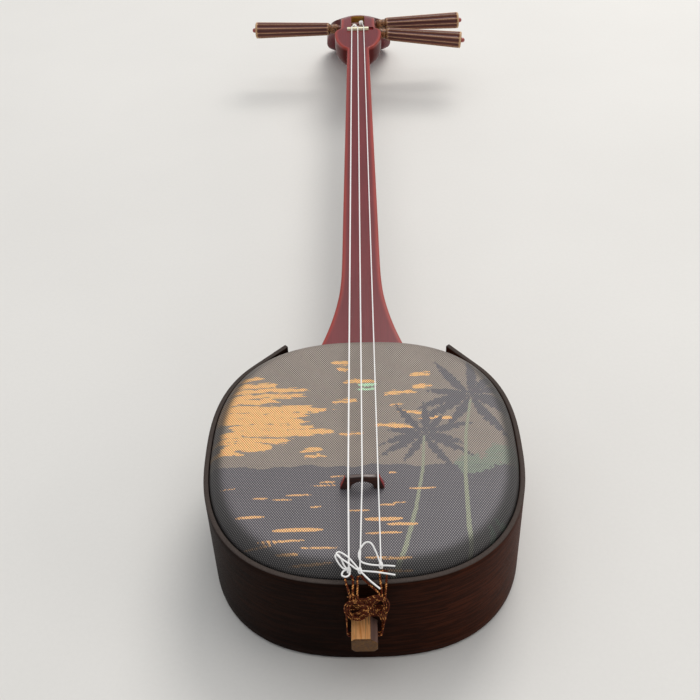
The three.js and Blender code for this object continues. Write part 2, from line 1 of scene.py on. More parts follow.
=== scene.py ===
"""A three-string Okinawan lute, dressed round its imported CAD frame.

Lengths are millimetres here and become metres as each mesh is made. +X is to the right seen from
the front, +Y runs towards the head and +Z comes out of the front skin.
"""

import itertools
import json
import math

import bmesh
import bpy
import numpy as np
from mathutils import Matrix, Vector


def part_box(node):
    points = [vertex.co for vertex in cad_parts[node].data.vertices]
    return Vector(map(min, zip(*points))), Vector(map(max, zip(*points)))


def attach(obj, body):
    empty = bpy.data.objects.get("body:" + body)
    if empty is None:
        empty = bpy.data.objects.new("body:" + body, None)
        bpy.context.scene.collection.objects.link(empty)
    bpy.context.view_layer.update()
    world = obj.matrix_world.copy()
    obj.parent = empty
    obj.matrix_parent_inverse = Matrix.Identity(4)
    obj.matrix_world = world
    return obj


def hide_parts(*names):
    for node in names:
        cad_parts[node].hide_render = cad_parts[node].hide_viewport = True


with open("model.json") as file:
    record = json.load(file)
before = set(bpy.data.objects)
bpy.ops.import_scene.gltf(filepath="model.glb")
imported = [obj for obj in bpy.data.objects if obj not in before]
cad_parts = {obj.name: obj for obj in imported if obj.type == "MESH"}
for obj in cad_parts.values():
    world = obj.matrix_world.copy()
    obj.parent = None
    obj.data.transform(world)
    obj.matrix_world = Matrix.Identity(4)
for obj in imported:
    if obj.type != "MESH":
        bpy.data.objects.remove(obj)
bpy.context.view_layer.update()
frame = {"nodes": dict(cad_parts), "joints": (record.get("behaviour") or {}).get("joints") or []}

# ---------------------------------------------------------------- sizes

MM = 0.001
TAU = 2 * math.pi

CAMERA = {"place": (6.55, -443.0, 532.1), "down": 0.70031, "turn": -0.02645, "roll": -0.04125,
          "lens": 55.05, "shift_y": -0.024}

BODY_EXPONENT = 2.57
WRAP_WALL = 3.0
WRAP_RIGHT_LEAVES = 75.0
WRAP_LEFT_LEAVES = 71.0
SKIN_THICKNESS = 0.8
SKIN_INSET = 3.3
SKIN_SKIRT = 21.0
SHOULDER_WIDTH = 12.0
SHOULDER_HEIGHT = 9.0
SHOULDER_END = SKIN_INSET + SHOULDER_WIDTH
THREADS = (0.7, 1.0)  # widths of the skin's upright and level threads

NECK_BODY_Y = 94.0
NECK_HEAD_Y = 536.0
NECK_FACE_Z = 70.7
SLOT_HALF = 6.75
SLOT_START = 583.0
SLOT_END = 619.5
SLOT_FLOOR = 47.0
STRING_RADII = {"left": 0.52, "middle": 0.45, "right": 0.4}
CORD_RADIUS = 0.7
PLY_PITCH = 2.5
PLY_SIDES = 7


def low_high(node):
    """A CAD node's lowest and highest corners in millimetres."""
    low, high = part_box(node)
    return np.array(low) / MM, np.array(high) / MM


wrap_low, wrap_high = low_high("side_wrap")
front_low, front_high = low_high("front_skin")
nut_low, nut_high = low_high("nut")
bridge_low, bridge_high = low_high("bridge")
knot_low, knot_high = low_high("tail_knot")
BODY_HEIGHT = front_high[2]
HALF_WIDTH = wrap_high[0]
HALF_LENGTH = -wrap_low[1]

# ---------------------------------------------------------------- camera and light


def add_camera():
    down, turn, roll = CAMERA["down"], CAMERA["turn"], CAMERA["roll"]
    forward = Vector((math.sin(turn) * math.cos(down), math.cos(turn) * math.cos(down), -math.sin(down)))
    right = forward.cross(Vector((0, 0, 1))).normalized()
    up = right.cross(forward)
    rolled_right = right * math.cos(roll) + up * math.sin(roll)
    rolled_up = up * math.cos(roll) - right * math.sin(roll)
    data = bpy.data.cameras.new("camera")
    data.lens = CAMERA["lens"]
    data.shift_y = CAMERA["shift_y"]
    camera = bpy.data.objects.new("camera", data)
    turned = Matrix((rolled_right, rolled_up, -forward)).transposed().to_4x4()
    camera.matrix_world = Matrix.Translation(Vector(CAMERA["place"]) * MM) @ turned
    bpy.context.collection.objects.link(camera)
    bpy.context.scene.camera = camera


def add_light(kind, name, place, aim, power, colour, **settings):
    data = bpy.data.lights.new(name, kind)
    data.energy = power
    data.color = colour
    for key, value in settings.items():
        setattr(data, key, value)
    light = bpy.data.objects.new(name, data)
    light.location = place
    light.rotation_mode = "QUATERNION"
    light.rotation_quaternion = (Vector(aim) - Vector(place)).to_track_quat("-Z", "Y")
    bpy.context.collection.objects.link(light)


def add_studio():
    """A soft key light from beyond the head, a weak side light, a broad overhead one and a pale sky."""
    add_light("AREA", "key_light", (0.55, 1.5, 1.75), (0, 0.2, 0), 17, (1.0, 0.97, 0.93),
              shape="DISK", size=1.1)
    add_light("AREA", "side_light", (1.5, -0.5, 0.7), (0, 0, 0), 3, (1.0, 0.93, 0.85),
              shape="DISK", size=0.7)
    add_light("SUN", "overhead_light", (0, 0, 0), (-0.12, -0.35, -1), 1.0, (1.0, 0.99, 0.97),
              angle=math.radians(70))
    world = bpy.data.worlds.new("studio")
    world.use_nodes = True
    background = world.node_tree.nodes["Background"]
    background.inputs["Color"].default_value = (0.95, 0.97, 1.0, 1)
    background.inputs["Strength"].default_value = 0.48
    bpy.context.scene.world = world
    bpy.context.scene.view_settings.view_transform = "Standard"


# ---------------------------------------------------------------- curves and meshes


def spaced(points, step, closed=False):
    """A smooth curve through the given points, as points about one step apart."""
    points = np.array(points, float)
    count = len(points)
    if closed:
        padded = np.concatenate([points[-1:], points, points[:2]])
    else:
        padded = np.concatenate([2 * points[:1] - points[1:2], points, 2 * points[-1:] - points[-2:-1]])
    dense = []
    for i in range(count if closed else count - 1):
        a, b, c, d = padded[i : i + 4]
        for t in np.linspace(0, 1, 24, endpoint=False):
            dense.append(0.5 * (2 * b + (c - a) * t + (2 * a - 5 * b + 4 * c - d) * t * t
                                + (3 * b - a - 3 * c + d) * t ** 3))
    dense.append(points[0] if closed else points[-1])
    return evenly(np.array(dense), step)


def lengths_along(line):
    return np.concatenate([[0], np.cumsum(np.linalg.norm(np.diff(line, axis=0), axis=1))])


def evenly(line, step):
    """The same line with points an even distance apart."""
    along = lengths_along(line)
    places = np.linspace(0, along[-1], max(2, round(along[-1] / step) + 1))
    return np.stack([np.interp(places, along, line[:, axis]) for axis in range(3)], axis=1)


def frames_along(line):
    """Two directions square to the line at each of its points, turning as little as they can."""
    tangents = np.gradient(line, axis=0)
    tangents /= np.linalg.norm(tangents, axis=1)[:, None]
    first = np.cross(tangents[0], [0.0, 0.31, 0.95])
    sides = [first / np.linalg.norm(first)]
    for tangent in tangents[1:]:
        side = sides[-1] - tangent * np.dot(sides[-1], tangent)
        sides.append(side / np.linalg.norm(side))
    sides = np.array(sides)
    return sides, np.cross(tangents, sides)


def loft(rings):
    """Points and faces of a skin through rings of equally many points, with end caps."""
    count, total = len(rings[0]), len(rings)
    faces = []
    for here in range(0, (total - 1) * count, count):
        for i in range(count):
            after = (i + 1) % count
            faces.append((here + i, here + after, here + count + after, here + count + i))
    faces.append(tuple(range(count - 1, -1, -1)))
    faces.append(tuple(range((total - 1) * count, total * count)))
    return np.concatenate(rings), faces


def tube(line, radius, sides):
    """Points and faces of a round tube."""
    angles = turns_round(sides)
    return loft([point + radius * (np.outer(np.cos(angles), a) + np.outer(np.sin(angles), b))
                 for point, a, b in zip(line, *frames_along(line))])


def ring_across(x, radius, angles):
    """A ring round the x axis; x and radius are numbers, or one for each angle."""
    along = np.broadcast_to(x, len(angles))
    return np.column_stack([along, radius * np.cos(angles), radius * np.sin(angles)])


def turns_round(count):
    """Angles evenly round a circle."""
    return np.arange(count) / count * TAU


def joined(parts):
    """Several (points, faces) as one."""
    points, faces, start = [], [], 0
    for part_points, part_faces in parts:
        points.append(part_points)
        faces += [tuple(start + i for i in face) for face in part_faces]
        start += len(part_points)
    return np.concatenate(points), faces


def plies(line, radius):
    """A laid cord: two plies that wind round the line."""
    across, upright = frames_along(line)
    made = []
    for start in (0, math.pi):
        angle = lengths_along(line) / PLY_PITCH * TAU + start
        offset = 0.46 * radius * (np.cos(angle)[:, None] * across + np.sin(angle)[:, None] * upright)
        made.append(tube(line + offset, 0.56 * radius, PLY_SIDES))
    return joined(made)


def smooth_step(value, low, high):
    t = np.clip((value - low) / (high - low), 0, 1)
    return t * t * (3 - 2 * t)


def smooth(mesh, sharp):
    """Shades the mesh smooth but for edges sharper than the given degrees."""
    mesh.shade_smooth()
    mesh.set_sharp_from_angle(angle=math.radians(sharp))


def mesh_object(name, geometry, material, sharp=40):
    """A new piece of one material or several, smooth but for its sharp edges, or flat if sharp is nothing."""
    points, faces = geometry
    mesh = bpy.data.meshes.new(name)
    mesh.from_pydata((np.asarray(points) * MM).tolist(), [], faces)
    tidy = bmesh.new()
    tidy.from_mesh(mesh)
    bmesh.ops.recalc_face_normals(tidy, faces=tidy.faces)
    tidy.to_mesh(mesh)
    tidy.free()
    if sharp:
        smooth(mesh, sharp)
    for one in material if isinstance(material, list) else [material]:
        mesh.materials.append(one)
    made = bpy.data.objects.new(name, mesh)
    bpy.context.collection.objects.link(made)
    return made


def dress(piece, body, slot, *nodes):
    """The piece rides on a body and stands for CAD nodes, which it hides. The slot is not used."""
    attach(piece, body)
    if nodes:
        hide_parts(*nodes)
    return piece


def add_values(piece, name, values):
    """A number or a vector for each point of the piece's mesh, for its material to read."""
    values = np.asarray(values, np.float32)
    kind, key = ("FLOAT_VECTOR", "vector") if values.ndim == 2 else ("FLOAT", "value")
    layer = piece.data.attributes.new(name, kind, "POINT")
    layer.data.foreach_set(key, values.ravel())


def places(piece):
    """The piece's points in millimetres."""
    values = np.zeros(len(piece.data.vertices) * 3)
    piece.data.vertices.foreach_get("co", values)
    return values.reshape(-1, 3) / MM


def with_modifiers(piece):
    """Applies the piece's modifiers to its mesh."""
    bpy.context.view_layer.update()
    evaluated = piece.evaluated_get(bpy.context.evaluated_depsgraph_get())
    made = bpy.data.meshes.new_from_object(evaluated)
    piece.modifiers.clear()
    piece.data = made


def carve(piece, geometry, operation="DIFFERENCE"):
    """Cuts a closed shape out of the piece, or joins it on."""
    cutter = mesh_object("cutter", geometry, [], sharp=None)
    modifier = piece.modifiers.new("carve", "BOOLEAN")
    modifier.operation = operation
    modifier.solver = "EXACT"
    modifier.object = cutter
    with_modifiers(piece)
    bpy.data.objects.remove(cutter)


def bevel(piece, width, angle=35):
    modifier = piece.modifiers.new("bevel", "BEVEL")
    modifier.width = width * MM
    modifier.segments = 3
    modifier.limit_method = "ANGLE"
    modifier.angle_limit = math.radians(angle)
    with_modifiers(piece)


def box(low, high):
    corners = np.array([(x, y, z) for x, y, z in itertools.product(*zip(low, high))])
    faces = [(0, 1, 3, 2), (4, 6, 7, 5), (0, 4, 5, 1), (2, 3, 7, 6), (0, 2, 6, 4), (1, 5, 7, 3)]
    return corners, faces


# ---------------------------------------------------------------- material building blocks


class Finish:
    """A material's node tree, with short names for the nodes that the finishes use."""

    def __init__(self, name, roughness, **fixed):
        self.material = bpy.data.materials.new(name)
        self.material.use_nodes = True
        self.tree = self.material.node_tree
        self.shader = self.tree.nodes["Principled BSDF"]
        self.shader.inputs["Roughness"].default_value = roughness
        for socket, value in fixed.items():
            self.shader.inputs[socket.replace("_", " ").title().replace("Ior", "IOR")].default_value = value

    def node(self, kind, inputs=(), **settings):
        made = self.tree.nodes.new(kind)
        for key, value in settings.items():
            setattr(made, key, value)
        for socket, value in dict(inputs).items():
            if isinstance(value, bpy.types.NodeSocket):
                self.tree.links.new(value, made.inputs[socket])
            else:
                made.inputs[socket].default_value = value
        return made

    def value(self, name, output="Fac"):
        return self.node("ShaderNodeAttribute", attribute_name=name).outputs[output]

    def stretched(self, vector, scale):
        return self.node("ShaderNodeVectorMath", {0: vector, 1: scale}, operation="MULTIPLY").outputs[0]

    def place(self, scale=(1, 1, 1)):
        """The place on the object in millimetres, stretched by scale."""
        to_metres = tuple(value / MM for value in scale)
        return self.stretched(self.node("ShaderNodeTexCoord").outputs["Object"], to_metres)

    def noise(self, vector, scale=1.0, detail=3.0, roughness=0.55, distortion=0.0):
        inputs = {"Vector": vector, "Scale": scale, "Detail": detail, "Roughness": roughness,
                  "Distortion": distortion}
        return self.node("ShaderNodeTexNoise", inputs).outputs["Fac"]

    def grain(self, x, y, z, *shape):
        """Noise with x, y and z waves to a millimetre, then its detail, roughness and distortion."""
        return self.noise(self.place((x, y, z)), 1.0, *shape)

    def math(self, operation, a, b=0.0, c=0.0):
        return self.node("ShaderNodeMath", {0: a, 1: b, 2: c}, operation=operation).outputs[0]

    def plus(self, a, b):
        return self.math("ADD", a, b)

    def times(self, a, b):
        return self.math("MULTIPLY", a, b)

    def linear(self, value, factor, start):
        return self.math("MULTIPLY_ADD", value, factor, start)

    def fade(self, value, low, high, to_low=0.0, to_high=1.0):
        """A smooth step from to_low to to_high as value goes from low to high."""
        inputs = {"Value": value, "From Min": low, "From Max": high, "To Min": to_low, "To Max": to_high}
        return self.node("ShaderNodeMapRange", inputs, interpolation_type="SMOOTHSTEP").outputs[0]

    def mix(self, share, a, b, blend_type="MIX"):
        """From a to b, each a socket or a screen colour such as "7d3236"."""
        a, b = ((*rgb(one), 1) if isinstance(one, str) else one for one in (a, b))
        inputs = {0: share, 6: a, 7: b}
        return self.node("ShaderNodeMix", inputs, data_type="RGBA", blend_type=blend_type).outputs[2]

    def shade(self, colour, low, high, share):
        """The colour made darker or lighter: times low to high as share goes from 0 to 1."""
        factor = self.fade(share, 0.0, 1.0, low, high)
        grey = self.node("ShaderNodeCombineXYZ", {0: factor, 1: factor, 2: factor}).outputs[0]
        return self.mix(1.0, colour, grey, "MULTIPLY")

    def bump(self, height, distance, strength=1.0):
        inputs = {"Height": height, "Distance": distance * MM, "Strength": strength}
        if self.shader.inputs["Normal"].is_linked:
            inputs["Normal"] = self.shader.inputs["Normal"].links[0].from_socket
        self.drive("Normal", self.node("ShaderNodeBump", inputs).outputs[0])

    def drive(self, socket, value):
        self.tree.links.new(value, self.shader.inputs[socket])

    def done(self, colour, roughness=None):
        self.drive("Base Color", colour)
        if roughness:
            self.drive("Roughness", roughness)
        return self.material


def rgb(code):
    """A screen colour as scene-linear numbers."""
    parts = [int(code[i : i + 2], 16) / 255 for i in (0, 2, 4)]
    return tuple(c / 12.92 if c <= 0.04045 else ((c + 0.055) / 1.055) ** 2.4 for c in parts)


# ---------------------------------------------------------------- finishes


def weave_nodes(f):
    """A plain weave over the cloth: its height from 0 in the gaps to 1 on top of a thread, and a
    chequer that is 1 where an upright thread lies on top and 0 where a level one does."""
    split = f.node("ShaderNodeSeparateXYZ", {0: f.value("cloth", "Vector")})
    waves = [f.math("SINE", f.times(split.outputs[i], math.pi / THREADS[i])) for i in (0, 1)]
    chequer = f.linear(f.times(*waves), 0.5, 0.5)
    heights = []
    for mine, other, over in ((*waves, 0.5), (*waves[::-1], -0.5)):
        across = f.math("POWER", f.math("ABSOLUTE", mine), 0.6)
        lift = f.linear(f.times(f.math("SIGN", mine), other), over, 0.5)
        heights.append(f.times(across, lift))
    return f.math("MAXIMUM", *heights), chequer


def skin_finish(printed):
    f = Finish("printed_skin" if printed else "plain_skin", 0.6, coat_weight=0.12, coat_roughness=0.45)
    cloth = f.value("cloth", "Vector")
    height, chequer = weave_nodes(f)
    broad = f.noise(cloth, 0.045, 2.0)
    fibre = f.noise(f.stretched(cloth, (0.5, 2.6, 1)), 1.0, 2.0)
    colour = f.mix(broad, "70645a", "8b7d70")

    def printed_over(name, paint, edge, torn):
        """Lays one printed colour on where the named value is above nothing."""
        return f.mix(f.fade(f.plus(f.value(name), torn), -edge, edge), colour, paint)

    if printed:
        brush = f.noise(f.stretched(cloth, (0.13, 0.75, 1)), 1.0, 3.0, 0.6)
        ragged = f.linear(f.noise(cloth, 0.55, 3.0, 0.65), 8.0, -4.0)
        leafy = f.linear(f.noise(cloth, 0.22, 4.0, 0.7), 16.0, -8.0)
        colour = printed_over("streaks", "eeb264", 0.3, f.linear(brush, 9.0, -4.5))
        colour = printed_over("mint_streaks", "b3dfb6", 0.3, f.times(ragged, 0.5))
        colour = printed_over("sea", f.mix(broad, "3d3a43", "4d4953"), 0.3, f.times(ragged, 0.4))
        clumps = f.fade(f.plus(f.value("foliage"), leafy), -0.6, 0.6)
        colour = f.mix(f.times(clumps, f.fade(brush, 0.3, 0.55, 0.55, 1.0)), colour, "6c7968")
        for name, paint, edge, rough in (("fronds", "3f3c46", 0.3, 0.8), ("leaves", "5f8570", 0.4, 1.0),
                                         ("trunks", "868b72", 0.3, 0.2), ("dashes", "e6ab66", 0.25, 0.16)):
            colour = printed_over(name, paint, edge, f.times(ragged, rough))
    hem = f.value("hem")
    # The fibre shade is the threads' own streaky tone; the height and chequer shades are painted shade in the
    # gaps and on the level threads and painted light on the upright ones, and hem adds painted shade down the
    # skirt.
    for low, high, share in ((0.86, 1.12, fibre), (0.7, 1.15, height), (0.1, 1.9, chequer), (1.0, 0.11, hem)):
        colour = f.shade(colour, low, high, share)
    # glint: a painted highlight on the upright threads' tops, weaker in the skirt.
    glint = f.times(f.math("POWER", chequer, 4.0), f.fade(hem, 0.0, 1.0, 0.58, 0.3))
    f.bump(height, 0.12)
    return f.done(f.mix(glint, colour, "d8cfc8"), f.fade(height, 0.0, 1.0, 0.8, 0.45))


def lacquer_finish():
    """Red lacquer: glossier on the front, with painted shade on its sides and painted highlights along the
    front's edges and on the bulge's edge.
    """
    f = Finish("red_lacquer", 0.32, coat_weight=0.16, coat_roughness=0.22, specular_ior_level=0.25)
    grain = f.grain(0.9, 0.02, 0.9, 4.0, 0.6, 0.4)
    pores = f.grain(5.0, 0.12, 5.0, 2.0)
    front = f.value("front")
    # Painted shade: the sides below the front face take the darker red.
    colour = f.mix(f.fade(front, 0.35, 0.75), "540d0c", f.mix(grain, "5e141b", "7e2229"))
    # Painted highlight: a paler red band along the front face's edges.
    colour = f.mix(f.times(f.fade(f.value("rim"), 4.0, 0.8), front), colour, "9a3229")
    # Painted highlight: an orange-red line on the bulge's edge.
    colour = f.mix(f.fade(f.value("arris"), 0.7, 0.1), colour, "cf5b42")
    colour = f.shade(colour, 0.84, 1.1, f.grain(0.03, 0.012, 0.03, 2.0))
    colour = f.shade(colour, 0.86, 1.08, pores)
    for socket, dull, glossy in (("Coat Weight", 0.0, 0.16), ("Specular IOR Level", 0.1, 0.25)):
        f.drive(socket, f.fade(front, 0.3, 0.9, dull, glossy))
    f.bump(pores, 0.02)
    f.bump(grain, 0.05, 0.6)
    return f.done(colour, f.fade(pores, 0.3, 0.7, 0.28, 0.44))


def raw_wood_finish(name, dark, light, stretch, line=None):
    """Bare wood with its grain along the axis that stretch makes slow."""
    f = Finish(name, 0.6, specular_ior_level=0.3)
    rings = f.grain(*stretch, 5.0, 0.6, 0.8)
    fibres = f.grain(*[4.5 * value for value in stretch], 2.0)
    colour = f.mix(f.fade(rings, 0.3, 0.7), dark, light)
    if line:
        colour = f.mix(f.fade(rings, 0.56, 0.62, 0.0, 0.75), colour, line)
    f.bump(fibres, 0.05)
    f.bump(rings, 0.08)
    return f.done(f.shade(colour, 0.75, 1.15, fibres), f.fade(rings, 0.3, 0.7, 0.5, 0.72))


def wrap_finish():
    """A thin stained wood shell, nearly black towards the left and a warmer brown on the right, where a warm
    light is painted on; its top rim is paler, partly wear and partly a painted highlight.
    """
    f = Finish("wrap_shell", 0.55, specular_ior_level=0.03)
    grain = f.grain(1.6, 1.6, 1.6, 4.0, 0.65)
    figure = f.grain(0.05, 0.05, 0.6, 5.0, 0.62, 0.6)
    colour = f.mix(f.grain(0.02, 0.02, 0.03), "120704", "241007")
    # Painted light: a warm brown glow that grows towards the right side.
    rightward = f.node("ShaderNodeSeparateXYZ", {0: f.place()}).outputs[0]
    colour = f.mix(f.fade(rightward, -20.0, 105.0, 0.0, 0.8), colour, "48200f")
    colour = f.shade(colour, 0.6, 1.35, f.fade(figure, 0.35, 0.68))
    # The paler top rim: wear, with a painted highlight where the rim faces up.
    rim_sheen_and_wear = f.times(f.fade(f.value("rim"), 0.55, 0.95), f.fade(grain, 0.25, 0.6, 0.7, 1.0))
    f.bump(grain, 0.035)
    colour = f.shade(f.mix(rim_sheen_and_wear, colour, "4c4440"), 0.75, 1.2, grain)
    return f.done(colour, f.fade(grain, 0.3, 0.7, 0.42, 0.6))


def peg_finish():
    """Dark red in the flutes and tan on the ridges, and a mottle of dark brown and tan at the carved collar.
    """
    f = Finish("peg_wood", 0.42, coat_weight=0.2, coat_roughness=0.3, specular_ior_level=0.35)
    grain = f.grain(0.05, 1.4, 1.4, 4.0, 0.65, 0.4)
    flecks = f.grain(0.5, 1.1, 1.1)
    ridge = f.plus(f.value("ridge"), f.linear(flecks, 0.4, -0.2))
    colour = f.mix(f.fade(ridge, 0.08, 0.5, 0.0, 0.8), f.mix(grain, "300f0d", "5f241d"), "7d4634")
    colour = f.mix(f.fade(ridge, 0.72, 0.96), colour, "c39c72")
    colour = f.mix(f.value("collar"), colour, f.mix(f.fade(flecks, 0.38, 0.6), "341609", "a06b40"))
    f.bump(grain, 0.06)
    f.bump(flecks, 0.12, 0.6)
    return f.done(f.shade(colour, 0.75, 1.15, grain), f.fade(flecks, 0.3, 0.7, 0.34, 0.55))


def cord_finish():
    """Twisted brown silk, with painted shade between the strands and painted copper highlights on their
    crowns.
    """
    f = Finish("tail_cord", 0.5, specular_ior_level=0.12)
    fibres = f.grain(2.2, 2.2, 2.2)
    crown = f.plus(f.value("crown"), f.linear(fibres, 0.3, -0.15))
    # Painted shade in the gaps between the plies and on their sides turned away, where crown is low.
    colour = f.mix(f.fade(crown, 0.2, 0.85), "090201", "62260d")
    glint = f.times(f.fade(crown, 0.6, 0.92), f.fade(f.grain(0.45, 0.45, 0.45, 2.0), 0.5, 0.6))
    f.bump(fibres, 0.08)
    return f.done(f.mix(glint, colour, "f5a860"), f.fade(fibres, 0.3, 0.7, 0.34, 0.5))


def floor_finish():
    f = Finish("pale_floor", 0.7, specular_ior_level=0.25)
    fine = f.grain(0.4, 0.4, 0.4)
    f.bump(fine, 0.03)
    return f.done(f.shade(f.mix(f.grain(0.004, 0.004, 0.004), "dcdad6", "e6e4e0"), 0.98, 1.01, fine))


def mottled_finish(name, roughness, dark, light, grain, height, spread=None, **fixed):
    """Two colours mixed by one noise, which is the relief too; spread makes the change sharper."""
    f = Finish(name, roughness, **fixed)
    mottle = f.grain(*grain)
    f.bump(mottle, height)
    return f.done(f.mix(f.fade(mottle, *spread) if spread else mottle, dark, light))


def bead_finish():
    return mottled_finish("peg_bead", 0.28, "7c2b29", "b8544c", (0.9, 0.9, 0.9), 0.05,
                          coat_weight=0.5, coat_roughness=0.12)


def ivory_finish():
    return mottled_finish("nut_ivory", 0.4, "efe8bd", "fbf7dc", (0.5, 2.5, 2.5), 0.02,
                          subsurface_weight=0.1, subsurface_radius=(0.002, 0.0012, 0.0006))


def string_finish():
    return mottled_finish("string_nylon", 0.32, "f0eeea", "ffffff", (2.5, 0.4, 2.5, 2.0), 0.015,
                          coat_weight=0.3, coat_roughness=0.2)


def bridge_finish(name, dark, light, roughness):
    return mottled_finish(name, roughness, dark, light, (0.12, 2.4, 2.0, 4.0, 0.6, 0.3), 0.05, (0.3, 0.7),
                          coat_weight=0.5, coat_roughness=0.15)


# ---------------------------------------------------------------- body


def outline(angles, inset):
    """The body's rounded-square outline, moved in by an inset."""
    power = 2 / BODY_EXPONENT
    c, s = np.cos(angles), np.sin(angles)
    return np.stack([(HALF_WIDTH - inset) * np.sign(c) * np.abs(c) ** power,
                     (HALF_LENGTH - inset) * np.sign(s) * np.abs(s) ** power], axis=1)


def drum_ring(angles, inset, z):
    return np.column_stack([outline(angles, inset), np.full(len(angles), z)])


def skin_profile():
    """From the middle of the drum out over the shoulder and down to the hem, as rows of
    (inset, height below the face, inset of the same thread when the cloth lay flat)."""
    shoulder_steps, skirt_steps, flat_step = 12, 12, 1.15
    middle = min(HALF_WIDTH, HALF_LENGTH) - 1.5
    rows = [(inset, 0.0, inset) for inset in np.arange(middle, SHOULDER_END, -flat_step)]
    cloth, last = SHOULDER_END, (SHOULDER_END, 0.0)
    turns = np.linspace(math.pi / 2, 0, shoulder_steps + 1)
    bend = [(SHOULDER_END - SHOULDER_WIDTH * math.cos(t), SHOULDER_HEIGHT * (1 - math.sin(t))) for t in turns]
    hang = [(SKIN_INSET, drop) for drop in np.linspace(SHOULDER_HEIGHT, SKIN_SKIRT, skirt_steps + 1)[1:]]
    for inset, drop in bend + hang:
        cloth -= math.hypot(inset - last[0], drop - last[1])
        last = (inset, drop)
        rows.append((inset, drop, cloth))
    return rows


def skin_geometry(front):
    """The cloth as one surface, with the flat place of each point."""
    around = 520
    angles = turns_round(around)
    rings, flat = [], []
    for inset, drop, cloth in skin_profile():
        rings.append(drum_ring(angles, inset, BODY_HEIGHT - drop if front else drop))
        flat.append(outline(angles, cloth))
    points, faces = loft(rings)
    # hem: how much painted shade each point takes, growing down the skirt from the shoulder and weaker
    # towards the neck, the side the light falls from.
    hem = np.repeat([smooth_step(SHOULDER_END - cloth, 0.5, 9.0) for *_, cloth in skin_profile()], around)
    hem *= 1 - 0.75 * smooth_step(points[:, 1], 45, 92)
    return (points, faces[:-1]), np.concatenate(flat), hem


def add_skin(front):
    name = "front_skin" if front else "back_skin"
    geometry, flat, hem = skin_geometry(front)
    slot = "printed_skin" if front else "plain_skin"
    piece = mesh_object(f"{name}_cloth", geometry, skin_finish(front), sharp=180)
    add_values(piece, "cloth", np.column_stack([flat, np.zeros(len(flat))]))
    add_values(piece, "hem", hem)
    if front:
        for field, values in print_fields(flat).items():
            add_values(piece, field, values)
    solidify = piece.modifiers.new("thickness", "SOLIDIFY")
    solidify.thickness = SKIN_THICKNESS * MM
    solidify.offset = -1
    with_modifiers(piece)
    dress(piece, "body", slot, name)
    reach = 2 * (SKIN_INSET - skin_profile()[-1][2])


STAVES = ("body_stave_right", "body_stave_head", "body_stave_left", "body_stave_tail")


def dress_staves():
    wood = raw_wood_finish("stave_wood", "8f6c42", "c8a26d", (0.35, 0.35, 0.6))
    for name in STAVES:
        stave = frame["nodes"][name]
        stave.data.materials.clear()
        stave.data.materials.append(wood)


def wrap_line():
    """The wrap's outer path: round the tail, then straight on to its two tips at the neck."""

    def leaves(x):
        return math.acos((x / HALF_WIDTH) ** (BODY_EXPONENT / 2))

    start, end, steps = leaves(WRAP_RIGHT_LEAVES), -math.pi - leaves(WRAP_LEFT_LEAVES), 260
    path = outline(np.linspace(start, end, steps + 1), 0)

    def straight_on(corner, before, tip_x):
        ahead = (corner - before) / np.linalg.norm(corner - before)
        length = (tip_x - corner[0]) / ahead[0]
        return [corner + ahead * length * share for share in np.linspace(0, 1, 9)[1:]]

    right_tip = straight_on(path[0], path[1], wrap_tip(1))
    left_tip = straight_on(path[-1], path[-2], wrap_tip(-1))
    return np.array(right_tip[::-1] + list(path) + left_tip)


def wrap_tip(side):
    """The x of the wrap's tip at the neck, on the right for 1 and on the left for -1."""
    points = places(frame["nodes"]["side_wrap"])
    return points[np.argmax(np.where(side * points[:, 0] > 0, points[:, 1], -1e9)), 0]


def add_wrap():
    path = wrap_line()
    along = np.gradient(path, axis=0)
    along /= np.linalg.norm(along, axis=1)[:, None]
    inward = np.stack([along[:, 1], -along[:, 0]], axis=1)
    low, high, soft, cut = wrap_low[2], wrap_high[2], 0.7, 0.2
    section = []
    for depth, up, first, last in ((0, 1, low, high), (WRAP_WALL, -1, high, low)):
        start = [(depth + up * soft, first), (depth + up * cut, first + up * cut), (depth, first + up * soft)]
        upright = [(depth, z) for z in np.linspace(first, last, 12)[1:-1]]
        end = [(depth, last - up * soft), (depth + up * cut, last - up * cut), (depth + up * soft, last)]
        section += start + upright + end
    depths = np.array([depth for depth, _ in section])
    heights = np.array([z for _, z in section])
    rings = [np.column_stack([point + np.outer(depths, way), heights]) for point, way in zip(path, inward)]
    piece = mesh_object("side_wrap_shell", loft(rings), wrap_finish(), sharp=50)
    carve(piece, tenon(0.3))
    piece.data.set_sharp_from_angle(angle=math.radians(50))
    # rim: the top 1.5 mm of the wall, which the finish paints paler with wear and a painted highlight.
    add_values(piece, "rim", np.clip((places(piece)[:, 2] - (high - 1.6)) / 1.5, 0, 1))
    return dress(piece, "body", "wrap_shell", "side_wrap")


# ---------------------------------------------------------------- the printed picture


def lens(flat, x0, x1, y, thick, tilt=0.0, wave=0.0):
    """How far inside a long dash with tapered ends each point is; less than nothing is outside."""
    share = (flat[:, 0] - (x0 + x1) / 2) / ((x1 - x0) / 2)
    room = thick / 2 * np.sqrt(np.clip(1 - np.abs(share) ** 3, 0, 1))
    room -= np.clip(np.abs(share) - 1, 0, None) * 8
    middle = y + tilt * (flat[:, 0] - x0) + wave * np.sin(flat[:, 0] / 5.5 + y)
    return room - np.abs(flat[:, 1] - middle)


def beside(flat, a, b):
    """For each point the share of the way from a to b where it is nearest, and its way off from there."""
    ab = b - a
    share = np.clip((flat - a) @ ab / (ab @ ab), 0, 1)
    return share, flat - a - share[:, None] * ab


def brushed(flat, points, widths):
    """How far inside a stroke of changing width each point is."""
    points = np.array(points, float)
    best = np.full(len(flat), -99.0)
    for a, b, wide_a, wide_b in zip(points[:-1], points[1:], widths[:-1], widths[1:]):
        share, away = beside(flat, a, b)
        best = np.maximum(best, wide_a + (wide_b - wide_a) * share - np.linalg.norm(away, axis=1))
    return best


